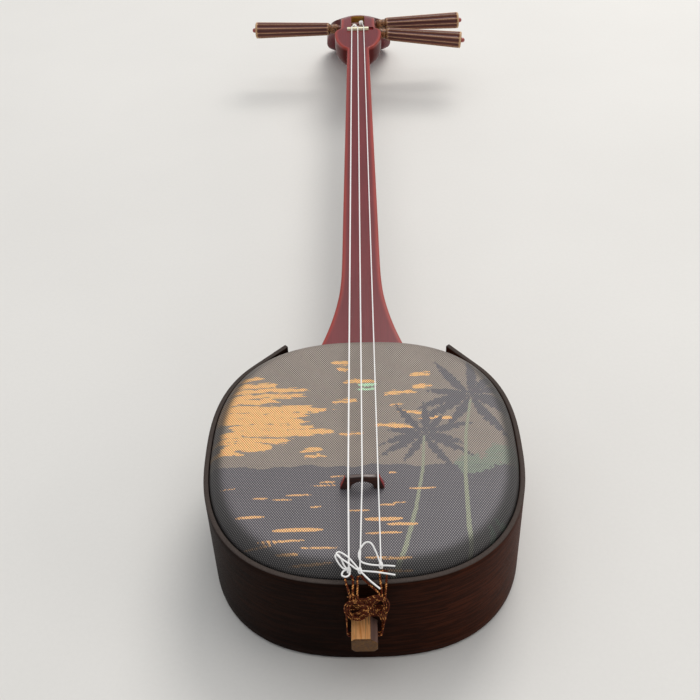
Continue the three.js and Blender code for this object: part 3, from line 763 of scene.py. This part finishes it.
def palm_frond(flat, crown, angle, length, width, droop):
    """One leaf: a drooping rib with a narrow blade above it and a fringe of leaflets hanging below."""
    shares = np.linspace(0, 1, 15)
    turn = math.radians(angle)
    rib = np.column_stack([crown[0] + length * shares * math.cos(turn),
                           crown[1] + length * shares * math.sin(turn) - droop * shares ** 2])
    best = np.full(len(flat), -99.0)
    for i, (a, b) in enumerate(zip(rib[:-1], rib[1:])):
        share, away = beside(flat, a, b)
        share = (i + share) / (len(rib) - 1)
        ab = b - a
        hangs = (ab[0] * away[:, 1] - ab[1] * away[:, 0]) * np.sign(ab[0]) < 0
        blade = 0.45 + 0.9 * width * np.sin(math.pi * share ** 0.9) ** 1.1
        fringe = 0.2 + 1.1 * np.abs(np.sin(share * length * 0.6 + angle)) ** 1.1
        reach = blade * np.where(hangs, fringe, 0.34)
        best = np.maximum(best, reach - np.linalg.norm(away, axis=1))
    return best


def laid_streaks(seed, levels, left, length, thick, drift):
    """A stack of long dashes, one at each level, as rows of x from, x to, y, thickness and tilt."""
    rng = np.random.default_rng(seed)
    rows = []
    for share, y in zip(np.linspace(0, 1, len(levels)), levels):
        swell = math.sin(math.pi * (0.15 + 0.7 * share))
        x = rng.uniform(*left)
        reach = rng.uniform(*length) * swell
        rows.append((x, x + reach, y + rng.uniform(-1, 1), rng.uniform(*thick), rng.uniform(-drift, drift)))
    return rows


CLOUDS = (laid_streaks(11, np.linspace(-9, 55, 13), (-106, -82), (46, 100), (3.6, 7.0), 0.03)
          + laid_streaks(12, np.linspace(-12, 68, 15), (-60, 40), (8, 30), (1.4, 3.4), 0.05))
MINT_CLOUDS = laid_streaks(13, (43, 49), (-18, -2), (20, 30), (1.8, 2.8), 0.02)
GLITTER = (laid_streaks(14, np.linspace(-27, -52, 13), (-86, 34), (9, 18), (0.8, 1.4), 0)
           + laid_streaks(15, np.linspace(-54, -100, 15), (-88, 24), (16, 34), (1.2, 2.6), 0))
LEAF_DROOP = {150: 0.3, 175: 0.4, 200: 0.3, 236: 0.08, 118: 0.16, 88: 0.06, 60: 0.18, 32: 0.34, 6: 0.42,
              -20: 0.3, -58: 0.08}
FRONDS = [((x, y), angle, size * (1 + 0.2 * math.sin(3 * angle)), 0.11 * size, size * droop)
          for x, y, size in ((66, 36, 36), (36, 4, 29)) for angle, droop in LEAF_DROOP.items()]
TRUNKS = (
    ((66, 32), (61, 4), (58, -30), (57, -66), (59, -104)),
    ((36, 2), (34, -24), (29, -52), (22, -80), (13, -104)),
)
FOLIAGE = [(x, -17 + 5 * math.sin(x / 6), 6 + 2 * math.sin(x / 3)) for x in range(62, 106, 6)]
MINT_LEAVES = (((72, -62), (80, -66), (88, -80)), ((69, -66), (73, -76), (72, -88)))


def print_fields(flat):
    """The picture's shapes at each point of the cloth, in millimetres inside each of them."""
    wave = 0.5

    def most(values):
        return np.maximum.reduce(list(values))

    hills = -20.5 + 0.9 * np.sin(flat[:, 0] / 7.3) + 0.6 * np.sin(flat[:, 0] / 2.9)
    return {
        "sea": hills - flat[:, 1],
        "streaks": most(lens(flat, *cloud, wave) for cloud in CLOUDS),
        "mint_streaks": most(lens(flat, *cloud, wave) for cloud in MINT_CLOUDS),
        "dashes": most(lens(flat, *dash[:4], 0.01, 0.2) for dash in GLITTER),
        "fronds": most(palm_frond(flat, *frond) for frond in FRONDS),
        "foliage": most(size - np.hypot(flat[:, 0] - x, flat[:, 1] - y) for x, y, size in FOLIAGE),
        "trunks": most(brushed(flat, trunk, np.linspace(0.7, 1.5, len(trunk))) for trunk in TRUNKS),
        "leaves": most(brushed(flat, leaf, (0.8, 3.0, 0.2)) for leaf in MINT_LEAVES),
    }


# ---------------------------------------------------------------- neck


def neck_rows():
    """y and z of the middle of the front face, tilt, half width, height of the upright side, depth,
    roundness of the back and crown of the front face, from the body to the tip of the head."""
    heel_length, heel_flare, heel_depth = 80, 12.1, 20
    rows = []
    for y in (88, 94, 99, 106, 114, 124, 136, 150, 174, 260, 400, NECK_HEAD_Y):
        along = (y - NECK_BODY_Y) / (NECK_HEAD_Y - NECK_BODY_Y)
        heel = max(0, 1 - (y - NECK_BODY_Y) / heel_length) ** 2
        rows.append((y, NECK_FACE_Z, 0, 14.7 - 4.1 * along + heel_flare * heel, 8 + 10 * heel,
                     25 - 2 * along + heel_depth * heel, 2.2, 0))
    rows += [
        (537.5, 70.7, 0, 11.4, 8.5, 23.2, 2.2, 0),  # bulge below the nut
        (540.7, 70.7, 0, 14.8, 10, 24.2, 2.2, 0),
        (547.6, 70.7, 0, 18.7, 12, 25.8, 2.2, 0),
        (558, 70.7, 0, 21.9, 13, 27.2, 2.2, 0),
        (571, 70.7, 0, 23.2, 13.5, 28, 2.3, 0),
        (577, 70.7, 0, 22.2, 14, 28, 2.5, 0),
        (580.5, 70.6, 2, 19.5, 15, 28, 2.8, 0),
        (583, 70.4, 3, 17.6, 16, 28, 3, 0),
        (588, 69.9, 5, 17, 18, 28, 3.2, 0),  # pegbox
        (610, 68, 5, 17, 18, 28, 3.2, 0.6),
        (619, 67, 9, 17.6, 17, 27.5, 3, 2.6),
        (627, 64.6, 24, 20.6, 12, 26, 2, 4.2),  # fold of the head
        (635.5, 59.6, 37, 25.2, 8, 22, 1.5, 4.4),
        (648, 50, 45, 29.6, 7, 17, 1.5, 4),
        (663, 35, 49, 33, 7, 13, 1.7, 3.6),
        (674.5, 22, 50, 34.8, 7, 11.5, 2, 3.4),  # rounded fan end
        (680.5, 14.6, 50, 33.6, 7, 11, 2, 3),
        (685.3, 8.8, 50, 29.2, 7, 10.4, 2, 2.4),
        (688.8, 4.4, 50, 22, 7, 10, 2, 1.6),
        (691.4, 1.2, 50, 10, 7, 9.6, 2, 0.6),
    ]
    return eased(np.array(rows, float))


def eased(rows, per_row=6):
    """Rows in between, without overshoot."""
    step = np.diff(rows, axis=0)
    before, after = np.vstack([step[:1], step]), np.vstack([step, step[-1:]])
    same_way = before * after > 0
    slope = np.where(same_way, 2 * before * after / np.where(same_way, before + after, 1), 0)
    made = []
    for i in range(len(rows) - 1):
        for t in np.arange(per_row) / per_row:
            made.append(rows[i] * (1 + 2 * t) * (1 - t) ** 2 + slope[i] * t * (1 - t) ** 2
                        + rows[i + 1] * t * t * (3 - 2 * t) + slope[i + 1] * t * t * (t - 1))
    return np.array(made + [rows[-1]])


def neck_section(row):
    """One closed section: a gently crowned front, rounded front edges, upright sides, round back."""
    y, z, tilt, half, side, depth, roundness, crown = row
    edge = 1.2

    def front(x):
        return -crown * (x / half) ** 2

    right = [(half * share, front(half * share)) for share in (0.15, 0.3, 0.45, 0.6, 0.75, 0.87)]
    right += [(half - edge * (1 - math.sin(t)), front(half - edge) - edge * (1 - math.cos(t)))
              for t in np.linspace(0, math.pi / 2, 6)]
    right += [(half, front(half) - edge - (side - edge) * share) for share in (0.35, 0.7, 1.0)]
    for angle in range(8, 90, 8):
        power = 2 / roundness
        t = math.radians(angle)
        right.append((half * math.cos(t) ** power,
                      front(half) - side - (depth - side + front(half)) * math.sin(t) ** power))
    section = [(0, 0), *right, (0, -depth), *[(-x, v) for x, v in right[::-1]]]
    turn = math.radians(tilt)
    return np.array([(x, y + v * math.sin(turn), z + v * math.cos(turn)) for x, v in section])


def tenon_section(y, centre, half, grow):
    w, h = half[0] + grow, half[1] + grow
    small, broad = 1.7, 3.9
    corners = [(-w, -h + small), (-w + small, -h), (w - small, -h), (w, -h + small),
               (w, h - broad), (w - broad, h), (-w + small, h), (-w, h - small)]
    return np.array([(centre[0] + x, y, centre[1] + z) for x, z in corners])


TENON_TAIL = ((-1.2, 34.6), (7.1, 5.6))
TENON_HEAD = ((0, 35.6), (11, 13))
TENON_END = -113.0


def tenon(grow=0.0):
    narrower = tuple(half - 0.6 for half in TENON_TAIL[1])
    return loft([
        tenon_section(TENON_END - grow, TENON_TAIL[0], narrower, grow),
        tenon_section(TENON_END + 0.6, *TENON_TAIL, grow),
        tenon_section(-76, *TENON_TAIL, grow),
        tenon_section(70, *TENON_HEAD, grow),
        tenon_section(104, *TENON_HEAD, grow),
    ])


def body_block():
    """The closed drum with a little clearance, that the neck's heel is fitted round."""
    rows = [(inset - 0.3, drop) for inset, drop, _ in skin_profile() if drop > 0][::2]
    top = [(inset, BODY_HEIGHT + 0.3 - drop) for inset, drop in rows if drop <= SHOULDER_HEIGHT]
    rows = [(SHOULDER_END, BODY_HEIGHT + 0.3), *top]
    rows += [(inset, BODY_HEIGHT - z) for inset, z in rows[::-1]]
    return loft([drum_ring(turns_round(240), inset, z) for inset, z in rows])


def peg_place(joint):
    """Where a peg's axis crosses the neck's middle, and the matrix that lays a peg along it."""
    centre = np.array(joint["pos_m"]) / MM
    turn = Vector((1, 0, 0)).rotation_difference(Vector(joint["axis"])).to_matrix()
    return centre, np.array(turn)


def rod(joint, radius, reach=30):
    """A round bar along a peg's axis."""
    centre, turn = peg_place(joint)
    line = np.array([(x, 0, 0) for x in (-reach, 0, reach)], float) @ turn.T + centre
    return tube(line, radius, 32)


def add_neck(lacquer, bare_wood, slot_wood, end_wood, painted_shade_chamfer_wood, peg_joints):
    piece = mesh_object("neck_and_head", loft([neck_section(row) for row in neck_rows()]),
                        [lacquer, bare_wood, slot_wood, end_wood, painted_shade_chamfer_wood], sharp=None)
    carve(piece, body_block())
    carve(piece, tenon(), "UNION")
    carve(piece, box((-SLOT_HALF, SLOT_START, SLOT_FLOOR), (SLOT_HALF, SLOT_END, BODY_HEIGHT)))
    carve(piece, box(nut_low - 0.05, nut_high + 5))
    for joint in peg_joints:
        carve(piece, rod(joint, 3.5))
    carve(piece, box((-60, 600, -40), (60, 720, 0)))
    paint_neck(piece)
    smooth(piece.data, 32)
    return dress(piece, "body", "red_lacquer", "neck")


def paint_neck(piece):
    """Bare wood on the tenon and in the slot, with painted shade on the tenon's end and chamfer, and the
    values for the lacquer's painted light and shade.
    """
    mesh = piece.data
    centres = np.array([polygon.center for polygon in mesh.polygons]) / MM
    normals = np.array([polygon.normal for polygon in mesh.polygons])
    near = 0.02
    on_wall = (np.abs(normals[:, :2]) > 0.98).any(axis=1)
    in_slot = ((np.abs(centres[:, 0]) < SLOT_HALF + near) & (centres[:, 1] > SLOT_START - near)
               & (centres[:, 1] < SLOT_END + near) & (centres[:, 2] > SLOT_FLOOR - near)
               & (on_wall | (centres[:, 2] < SLOT_FLOOR + 0.1)))
    on_tenon = centres[:, 1] < NECK_BODY_Y - 12
    # The tenon's right chamfer takes a darker wood as painted shade; its end face takes one that is partly
    # the end grain's darker tone and partly painted shade.
    tail_end = on_tenon & (normals[:, 1] < -0.5)
    shaded_chamfer = on_tenon & (normals[:, 0] > 0.4) & (normals[:, 2] > 0.4)
    chosen = np.select([in_slot, tail_end, shaded_chamfer, on_tenon], [2, 3, 4, 1], 0)
    mesh.polygons.foreach_set("material_index", chosen.astype(np.int32))
    rows = neck_rows()
    points = places(piece)
    half = np.interp(points[:, 1], rows[:, 0], rows[:, 3])
    face = np.interp(points[:, 1], rows[:, 0], rows[:, 1])
    inside = half - np.abs(points[:, 0])
    below = face - points[:, 2]
    on_neck = points[:, 1] < 640
    # front makes the front face glossier and leaves painted shade on the sides; rim and arris place the
    # painted highlights along the edges.
    add_values(piece, "front", np.where(on_neck, np.clip(1 - (below - 1.2) / 1.2, 0, 1), 1.0))
    add_values(piece, "rim", np.where(on_neck, inside, 6))
    on_bulge = (points[:, 1] > NECK_HEAD_Y - 1) & (points[:, 1] < 579)
    add_values(piece, "arris", np.where(on_bulge, np.abs(inside) + np.abs(below - 0.3), 9))


# ---------------------------------------------------------------- pegs

PEGS = {  # body, joint, handle start, and where its string winds, along the peg from the middle
    "left": ("left_peg", "peg_left_turn", 29.5, 3.6),
    "right_lower": ("lower_right_peg", "peg_right_lower_turn", 29.5, -0.4),
    "right_upper": ("upper_right_peg", "peg_right_upper_turn", 28.5, 3.6),
}
PEG_TIP = -18.2
PEG_WALL = 17.0
HANDLE = 76.0
FLUTES = 10
FLUTE_STEPS = 12


def shank_radius(x):
    return np.interp(x, (-PEG_WALL, PEG_WALL), (2.85, 3.3))


def peg_surface(start):
    """Rings of the peg along +X, with how much of a ridge and of the collar each point is."""
    end = start + HANDLE
    xs = np.unique(np.concatenate([
        [PEG_TIP, PEG_TIP + 0.3, PEG_TIP + 0.8], np.linspace(-PEG_WALL, PEG_WALL, 16),
        np.linspace(PEG_WALL, start - 10, 4), np.linspace(start - 10, start + 6, 44),
        np.linspace(start + 6, end - 8, 26), np.linspace(end - 8, end, 30),
    ]))
    outline_x = (PEG_TIP, PEG_TIP + 0.8, -PEG_WALL, PEG_WALL, start - 9.6, start - 8.4, start - 6.5,
                 start - 4.2, start - 2.2, start - 1.1, start, start + 1.6, end - 4, end - 1.0, end - 0.3,
                 end)
    outline_r = (2.1, 2.7, 2.85, 3.3, 3.45, 4.3, 4.9, 4.6, 4.9, 4.5, 5.7, 6.3, 8.1, 8.1, 7.6, 6.6)
    radii = np.interp(xs, outline_x, outline_r)
    around = FLUTES * FLUTE_STEPS
    angles = turns_round(around)
    phase = np.abs(np.mod(np.arange(around) / FLUTE_STEPS, 1) - 0.5) * 2  # 1 on a ridge, 0 in a flute
    rings, ridges, collars = [], [], []
    for x, radius in zip(xs, radii):
        fluted = smooth_step(x, start + 0.2, start + 3.4) * (1 - smooth_step(x, end - 3.4, end - 1.2))
        collar = smooth_step(x, start - 9.8, start - 8.6) * (1 - smooth_step(x, start + 0.4, start + 1.8))
        hollow = (1 - phase ** 2.2) * (0.55 + 0.45 * fluted * (1 - 0.5 * phase))
        wobble = 0.12 * collar * np.sin(angles * 7 + x * 1.9) * np.cos(x * 2.7 + angles * 3)
        r = radius * (1 - 0.19 * hollow * fluted) + wobble
        rings.append(ring_across(x, r, angles))
        ridges.append(np.where(x > start + 0.4, 1 - hollow * fluted, 0.35))
        collars.append(np.full(around, collar))
    return rings, np.concatenate(ridges), np.concatenate(collars)


def add_peg(name, wood, bead_material, string_material, joints):
    body, joint, start, winding = PEGS[name]
    centre, turn = peg_place(joints[joint])

    def laid(geometry):
        """The same shape, laid along the peg's axis."""
        points, faces = geometry
        return points @ turn.T + centre, faces

    rings, ridges, collars = peg_surface(start)
    peg = mesh_object(f"peg_{name}_turned", laid(loft(rings)), wood, sharp=55)
    add_values(peg, "ridge", ridges)
    add_values(peg, "collar", collars)
    dress(peg, body, "peg_wood", f"peg_{name}")

    ball = laid(loft(bead_rings(start + HANDLE)))
    bead = mesh_object(f"peg_bead_{name}_domed", ball, bead_material, sharp=60)
    dress(bead, body, "peg_bead", f"peg_bead_{name}")

    turns = laid(joined(winding_parts(winding)))
    coil = mesh_object(f"string_winding_{name}_coil", turns, string_material)
    dress(coil, body, "string_nylon", f"string_winding_{name}")


def bead_rings(start):
    """A ball on a thin collar at the end of the handle."""
    radius, middle = 2.35, 1.25
    rows = [(-0.2, 2.6), (0.25, 2.6), (0.4, 2.2)]
    rows += [(middle + radius * math.sin(t), radius * math.cos(t)) for t in np.linspace(-0.32, 1.5, 14)]
    return [ring_across(start + x, r, turns_round(32)) for x, r in rows]


def winding_parts(middle):
    """Turns of string on the peg, and a second layer over them."""
    radius = STRING_RADII["middle"]
    reach = shank_radius(middle) + radius + 0.05
    layers = []
    for turns, steps, width, r in ((5, 101, 9.5 * radius, reach), (2.4, 50, 2.2, reach + 1.6 * radius)):
        angles = np.linspace(0, turns * TAU, steps)
        layers.append(tube(ring_across(middle + (angles / angles[-1] - 0.5) * width, r, angles), radius, 8))
    return layers


# ---------------------------------------------------------------- nut, bridge and strings


def add_nut(ivory):
    """A bar with three shallow string grooves in its top."""
    top, depth = nut_high[2], 0.5
    outline_points = [(nut_low[0], nut_low[2]), (nut_low[0], top)]
    for x in (-6, 0, 6):
        outline_points += [(x - 0.7, top), (x - 0.35, top - depth), (x + 0.35, top - depth), (x + 0.7, top)]
    outline_points += [(nut_high[0], top), (nut_high[0], nut_low[2])]
    rings = [np.array([(x, y, z) for x, z in outline_points]) for y in (nut_low[1], nut_high[1])]
    piece = mesh_object("nut_grooved", loft(rings), ivory)
    bevel(piece, 0.35)
    smooth(piece.data, 40)
    return dress(piece, "body", "nut_ivory", "nut")


def add_bridge(dark, red):
    """A low one-arched bridge, thinner towards the top, its ends lacquered red."""
    middle = (bridge_low + bridge_high) / 2
    foot_half, top_half, arch_half = 12.3, 10.0, 6.7
    height, base = bridge_high[2] - bridge_low[2], BODY_HEIGHT + 0.04
    arch = [(arch_half * math.cos(t), 5.4 * math.sin(t) ** 0.9) for t in np.linspace(0, math.pi, 25)]
    side = [(foot_half, 0), (foot_half + 0.25, 1.2), (foot_half - 0.5, 3.2), (top_half + 0.5, height - 2.4),
            (top_half, height - 0.7), (top_half - 0.7, height)]
    crest_half = top_half - 1.4
    crest = [(x, height + 0.18 * math.cos(x / 2.3) - 0.18) for x in np.linspace(crest_half, -crest_half, 15)]
    shape = [*arch[::-1], *side, *crest, *[(-x, z) for x, z in side[::-1]]]
    rings = []
    for way in (-1, 1):
        face = [(middle[0] + x, middle[1] + way * (2.3 - z / height), base + z) for x, z in shape]
        rings.append(np.array(face))
    piece = mesh_object("bridge_arched", loft(rings), [dark, red])
    bevel(piece, 0.4, angle=50)
    for polygon in piece.data.polygons:
        outward = abs(polygon.center.x / MM - middle[0]) > arch_half + 1
        polygon.material_index = 1 if abs(polygon.normal.x) > 0.6 and outward else 0
    smooth(piece.data, 50)
    return dress(piece, "bridge", "bridge_lacquer", "bridge")


KNOTS = {  # where each string is tied to the tail cord, and its x over the bridge and the nut
    "left": ((-8.4, -95.4, 77.0), -8.5, -6.0, "left"),
    "middle": ((-2.6, -95.9, 77.2), -0.7, 0.0, "right_lower"),
    "right": ((8.5, -93.8, 78.5), 8.2, 6.0, "right_upper"),
}
KNOT_TAGS = {  # bights and tag ends of each knot, from the knot's middle
    "left": [
        [(0, 0, 0), (0.5, -1.9, -0.6), (-1.4, -3.6, -0.6), (-3.6, -2.6, -0.6), (-3.0, -0.5, -0.2),
         (-0.8, 0.6, 0)],
        [(0, 0, 0), (-2.2, 2.4, 0.4), (-4, 6.4, 1), (-5.6, 9.2, 1.3), (-7.2, 8.8, 1.3), (-6, 5.2, 1),
         (-3.2, 1.2, 0.6), (0, -0.2, 0)],
    ],
    "middle": [
        [(0, 0, 0), (-3, 3.2, 2), (-6.4, 6.6, 3.4), (-10.6, 9.6, 3.6), (-12.2, 8.4, 3.6), (-10.2, 5.8, 3.6),
         (-5.4, 2.2, 3), (-2.4, 0.4, 1.6), (0, 0, 0)],
        [(0, 0, 0), (9, -1.6, 0.6), (18.4, -3.4, 0.4)],
        [(0, 0, 0), (5, -5, -1.6), (10.4, -9.2, -3.4)],
    ],
    "right": [
        [(0, 0, 0), (-2.4, 5.4, 4), (-5.0, 9.6, 6.4), (-8.4, 10, 6), (-11.4, 5.6, 4), (-10.6, 1.6, 2),
         (-6, 0.2, 0.8), (0, 0, 0)],
        [(0, 0, 0), (3.6, -0.6, 0.6), (7.4, -1.2, 0.8)],
    ],
}


def string_line(name, joints):
    """From the winding over the nut and the bridge down to the knot."""
    knot, bridge_x, nut_x, peg_name = KNOTS[name]
    radius = STRING_RADII[name]
    _, joint, _, winding = PEGS[peg_name]
    centre, turn = peg_place(joints[joint])
    on_axis = turn @ np.array([winding, 0, 0]) + centre
    reach = shank_radius(winding) + 0.45 + 1.6 * radius
    nut_top, bridge_top = nut_high[2] + radius - 0.3, bridge_high[2] + radius - 0.08
    nut_y = (nut_low[1] + nut_high[1]) / 2
    bridge_y = (bridge_low[1] + bridge_high[1]) / 2
    corners = [
        on_axis + (0, 0.35 * reach, 0.94 * reach), on_axis + (0, -0.25 * reach, 0.97 * reach),
        (nut_x, nut_y + 1.6, nut_top), (nut_x, nut_y - 1.6, nut_top),
        (bridge_x, bridge_y + 1.3, bridge_top), (bridge_x, bridge_y - 1.3, bridge_top), knot,
    ]
    line = []
    for a, b in zip(corners[:-1], corners[1:]):
        a, b = np.array(a, float), np.array(b, float)
        cuts = np.array([0, 0.02, 0.25, 0.5, 0.75, 0.98])
        line += [a + (b - a) * t for t in cuts]
    return np.array(line + [np.array(corners[-1], float)])


def knot_parts(name):
    """A wound knot with its bights and tag ends."""
    centre = np.array(KNOTS[name][0])
    radius = STRING_RADII["middle"]
    angles = np.linspace(0, 3.2 * TAU, 70)
    wound = 1.25 * radius + 0.35 * np.sin(angles / 3.2 / 2) ** 2
    down = np.linspace(1.5, -1.5, len(angles))
    c, s = np.cos(angles), np.sin(angles)
    coil = np.column_stack([wound * c, down * 0.8 + 0.2 * s, wound * s + down * 0.25])
    parts = [tube(centre + coil, radius * 0.9, 8)]
    for tag in KNOT_TAGS[name]:
        parts.append(tube(spaced(np.array(tag) + centre, 0.35), radius * 1.05, 10))
    return parts


def add_strings(material, joints):
    for name in KNOTS:
        line = string_line(name, joints)
        string = mesh_object(f"string_{name}_line", tube(line, STRING_RADII[name], 12), material, sharp=80)
        dress(string, "body", "string_nylon", f"string_{name}")
        knot = mesh_object(f"string_knot_{name}_tied", joined(knot_parts(name)), material, sharp=80)
        dress(knot, "body", "string_nylon", f"string_knot_{name}")


# ---------------------------------------------------------------- tail cord

LOOPS = {  # x and z of each foot, top of the loop and half its width there
    "left": ((-8.2, 63.5), (-6.6, 64.5), (-8.4, -97, 74.3), 2.0),
    "middle": ((-4.2, 65), (6.6, 66), (-2.3, -97.5, 74.5), 1.7),
    "right": ((8.6, 65), (10.4, 64), (9.6, -95.4, 75.8), 1.8),
}
BANDS = {  # middle lines of the flat knot's bands: across, up and out, from the knot's middle
    "left_ring": [(-5.0, 6.2, 0.9), (-9.2, 3.4, 0.3), (-10.5, -2.0, 0), (-8.8, -7.4, 0.3), (-4.4, -9.4, 0.9),
                  (0.4, -7.2, -0.9), (2.4, -1.8, 0.9), (0.2, 4.0, -0.9)],
    "right_ring": [(5.0, 9.4, 0.9), (9.2, 6.8, 0.4), (10.7, 1.4, 0), (9.2, -4.8, 0.2), (4.8, -7.6, -0.9),
                   (0, -4.6, 0.9), (-1.8, 1.0, -0.9), (0.4, 6.8, 0.9)],
    "falling": [(-9.0, 10.0, -0.4), (-6.0, 7.0, -0.9), (-2.4, 2.8, 0.9), (2.6, -2.0, -0.9), (7.2, -5.0, 0.9),
                (9.0, -11.0, 0.3)],
    "rising": [(-8.0, -10.6, -0.6), (-6.0, -7.6, -0.9), (-2.8, -3.6, 0.9), (1.8, 1.4, -0.9), (5.0, 5.4, 0.3),
               (8.8, 10.0, -0.8)],
}
BAND_STRANDS = (-1.3, 0, 1.3)
STRAND_RADIUS = 0.5


def loop_line(name):
    left, right, (x, y, z), spread = LOOPS[name]
    foot_y = (knot_low[1] + knot_high[1]) / 2
    return spaced([(left[0], foot_y, left[1]), (left[0], foot_y + 0.6, left[1] + 2.5),
                   (x - spread, y - 1.2, z - 1), (x - spread * 0.6, y, z),
                   (x + spread * 0.6, y, z), (x + spread, y - 1.2, z - 1),
                   (right[0], foot_y + 0.6, right[1] + 2.5), (right[0], foot_y, right[1])], 0.22)


def band_lines(name):
    """The parallel strands of one band of the flat knot."""
    middle = (knot_low + knot_high) / 2
    closed = name.endswith("ring")
    line = spaced([middle + (across, -out * 0.85, up) for across, up, out in BANDS[name]], 0.3, closed)
    if closed:
        along = np.roll(line[:-1], -1, axis=0) - np.roll(line[:-1], 1, axis=0)
        along = np.vstack([along, along[:1]])
    else:
        along = np.gradient(line, axis=0)
    side = np.column_stack([along[:, 2], np.zeros(len(line)), -along[:, 0]])
    side /= np.linalg.norm(side, axis=1)[:, None]
    return [line + side * offset for offset in BAND_STRANDS]


def noose_lines():
    """Three strands round the tail block; on its right they lie side by side up to the flat knot."""
    low, high = low_high("tail_noose")
    lines = []
    for layer in range(3):
        y, spread = high[1] - 0.6 - 1.15 * layer, 0.95 * layer
        left, right, bottom, top = low[0] + 0.7, high[0] - 0.7, low[2] + 0.7, high[2] - 0.7
        soft = 2.6
        middle = (bottom + top) / 2
        corner = [(right - soft, bottom), (right - 0.6, bottom + 0.8), (right, bottom + soft),
                  (right + 0.4 + 0.5 * spread, middle), (right + 1.0 + spread, top - soft),
                  (right + 0.6 + spread, top - 0.4), (right - soft, top), (0, top + 0.2), (left + soft, top),
                  (left + 0.8, top - 0.6), (left, top - soft), (left, middle), (left, bottom + soft),
                  (left + 0.8, bottom + 0.6), (left + soft, bottom), (0, bottom)]
        lines.append(spaced([(x, y, z) for x, z in corner], 0.25, closed=True))
    return lines


def laid_cord(name, lines, radius, material):
    """One piece of two-ply cord along each line. Its crown, where a ply stands out to the front, takes
    painted light, and the rest painted shade.
    """
    outward = np.array([0, -0.75, 0.66])
    strands, crowns = [], []
    for line in lines:
        points, faces = plies(line, radius)
        away = (points.reshape(2, -1, PLY_SIDES, 3) - line[None, :, None]) / radius
        # crown: high where a ply's surface stands out and faces outward, for the painted light; low in the
        # gaps, for the painted shade.
        crown = np.linalg.norm(away, axis=3) * smooth_step(away @ outward, -0.2, 0.85)
        strands.append((points, faces))
        crowns.append(crown.ravel())
    piece = mesh_object(name, joined(strands), material)
    add_values(piece, "crown", np.concatenate(crowns))
    return piece


def add_tail_cord(material):
    for name in LOOPS:
        loop = laid_cord(f"tail_loop_{name}_cord", [loop_line(name)], CORD_RADIUS, material)
        dress(loop, "body", "tail_cord", f"tail_loop_{name}")
    strands = [strand for name in BANDS for strand in band_lines(name)]
    for name, lines, node in (("tail_knot_double_coin", strands, "tail_knot"),
                              ("tail_noose_cord", noose_lines(), "tail_noose")):
        dress(laid_cord(name, lines, STRAND_RADIUS, material), "body", "tail_cord", node)


# ---------------------------------------------------------------- floor


def add_floor():
    half, below = 60000, 0.4
    corners = np.array([(-1, -1, 0), (1, -1, 0), (1, 1, 0), (-1, 1, 0)]) * half - (0, 0, below)
    floor = mesh_object("floor", (corners, [(0, 1, 2, 3)]), floor_finish(), sharp=None)
    if floor.data.polygons[0].normal.z < 0:
        floor.data.flip_normals()


# ---------------------------------------------------------------- assembly

add_camera()
add_studio()
peg_joints = {joint["name"]: joint for joint in frame["joints"] if joint["type"] == "hinge"}
cord_material = cord_finish()
string_material = string_finish()
add_tail_cord(cord_material)
add_strings(string_material, peg_joints)
add_skin(front=True)
add_skin(front=False)
dress_staves()
add_wrap()
add_neck(
    lacquer_finish(),
    raw_wood_finish("tail_block_wood", "d98a46", "ffc180", (0.9, 0.03, 0.9), "6e4522"),
    raw_wood_finish("slot_wood", "8a5c1e", "cf9a45", (0.05, 0.9, 0.9)),
    # The tail end's wood is darker end grain with painted shade, the chamfer's darker wood painted shade.
    raw_wood_finish("tail_end_shaded_wood", "4a3017", "6f4c28", (0.7, 0.7, 0.7)),
    raw_wood_finish("tail_chamfer_shaded_wood", "55403a", "7c5d51", (0.9, 0.03, 0.9)),
    list(peg_joints.values()),
)
peg_wood, bead_lacquer = peg_finish(), bead_finish()
for peg_name in PEGS:
    add_peg(peg_name, peg_wood, bead_lacquer, string_material, peg_joints)
add_nut(ivory_finish())
add_bridge(bridge_finish("bridge_lacquer", "1f0d0a", "46200f", 0.35),
           bridge_finish("bridge_red", "7a1216", "b3262a", 0.2))
add_floor()
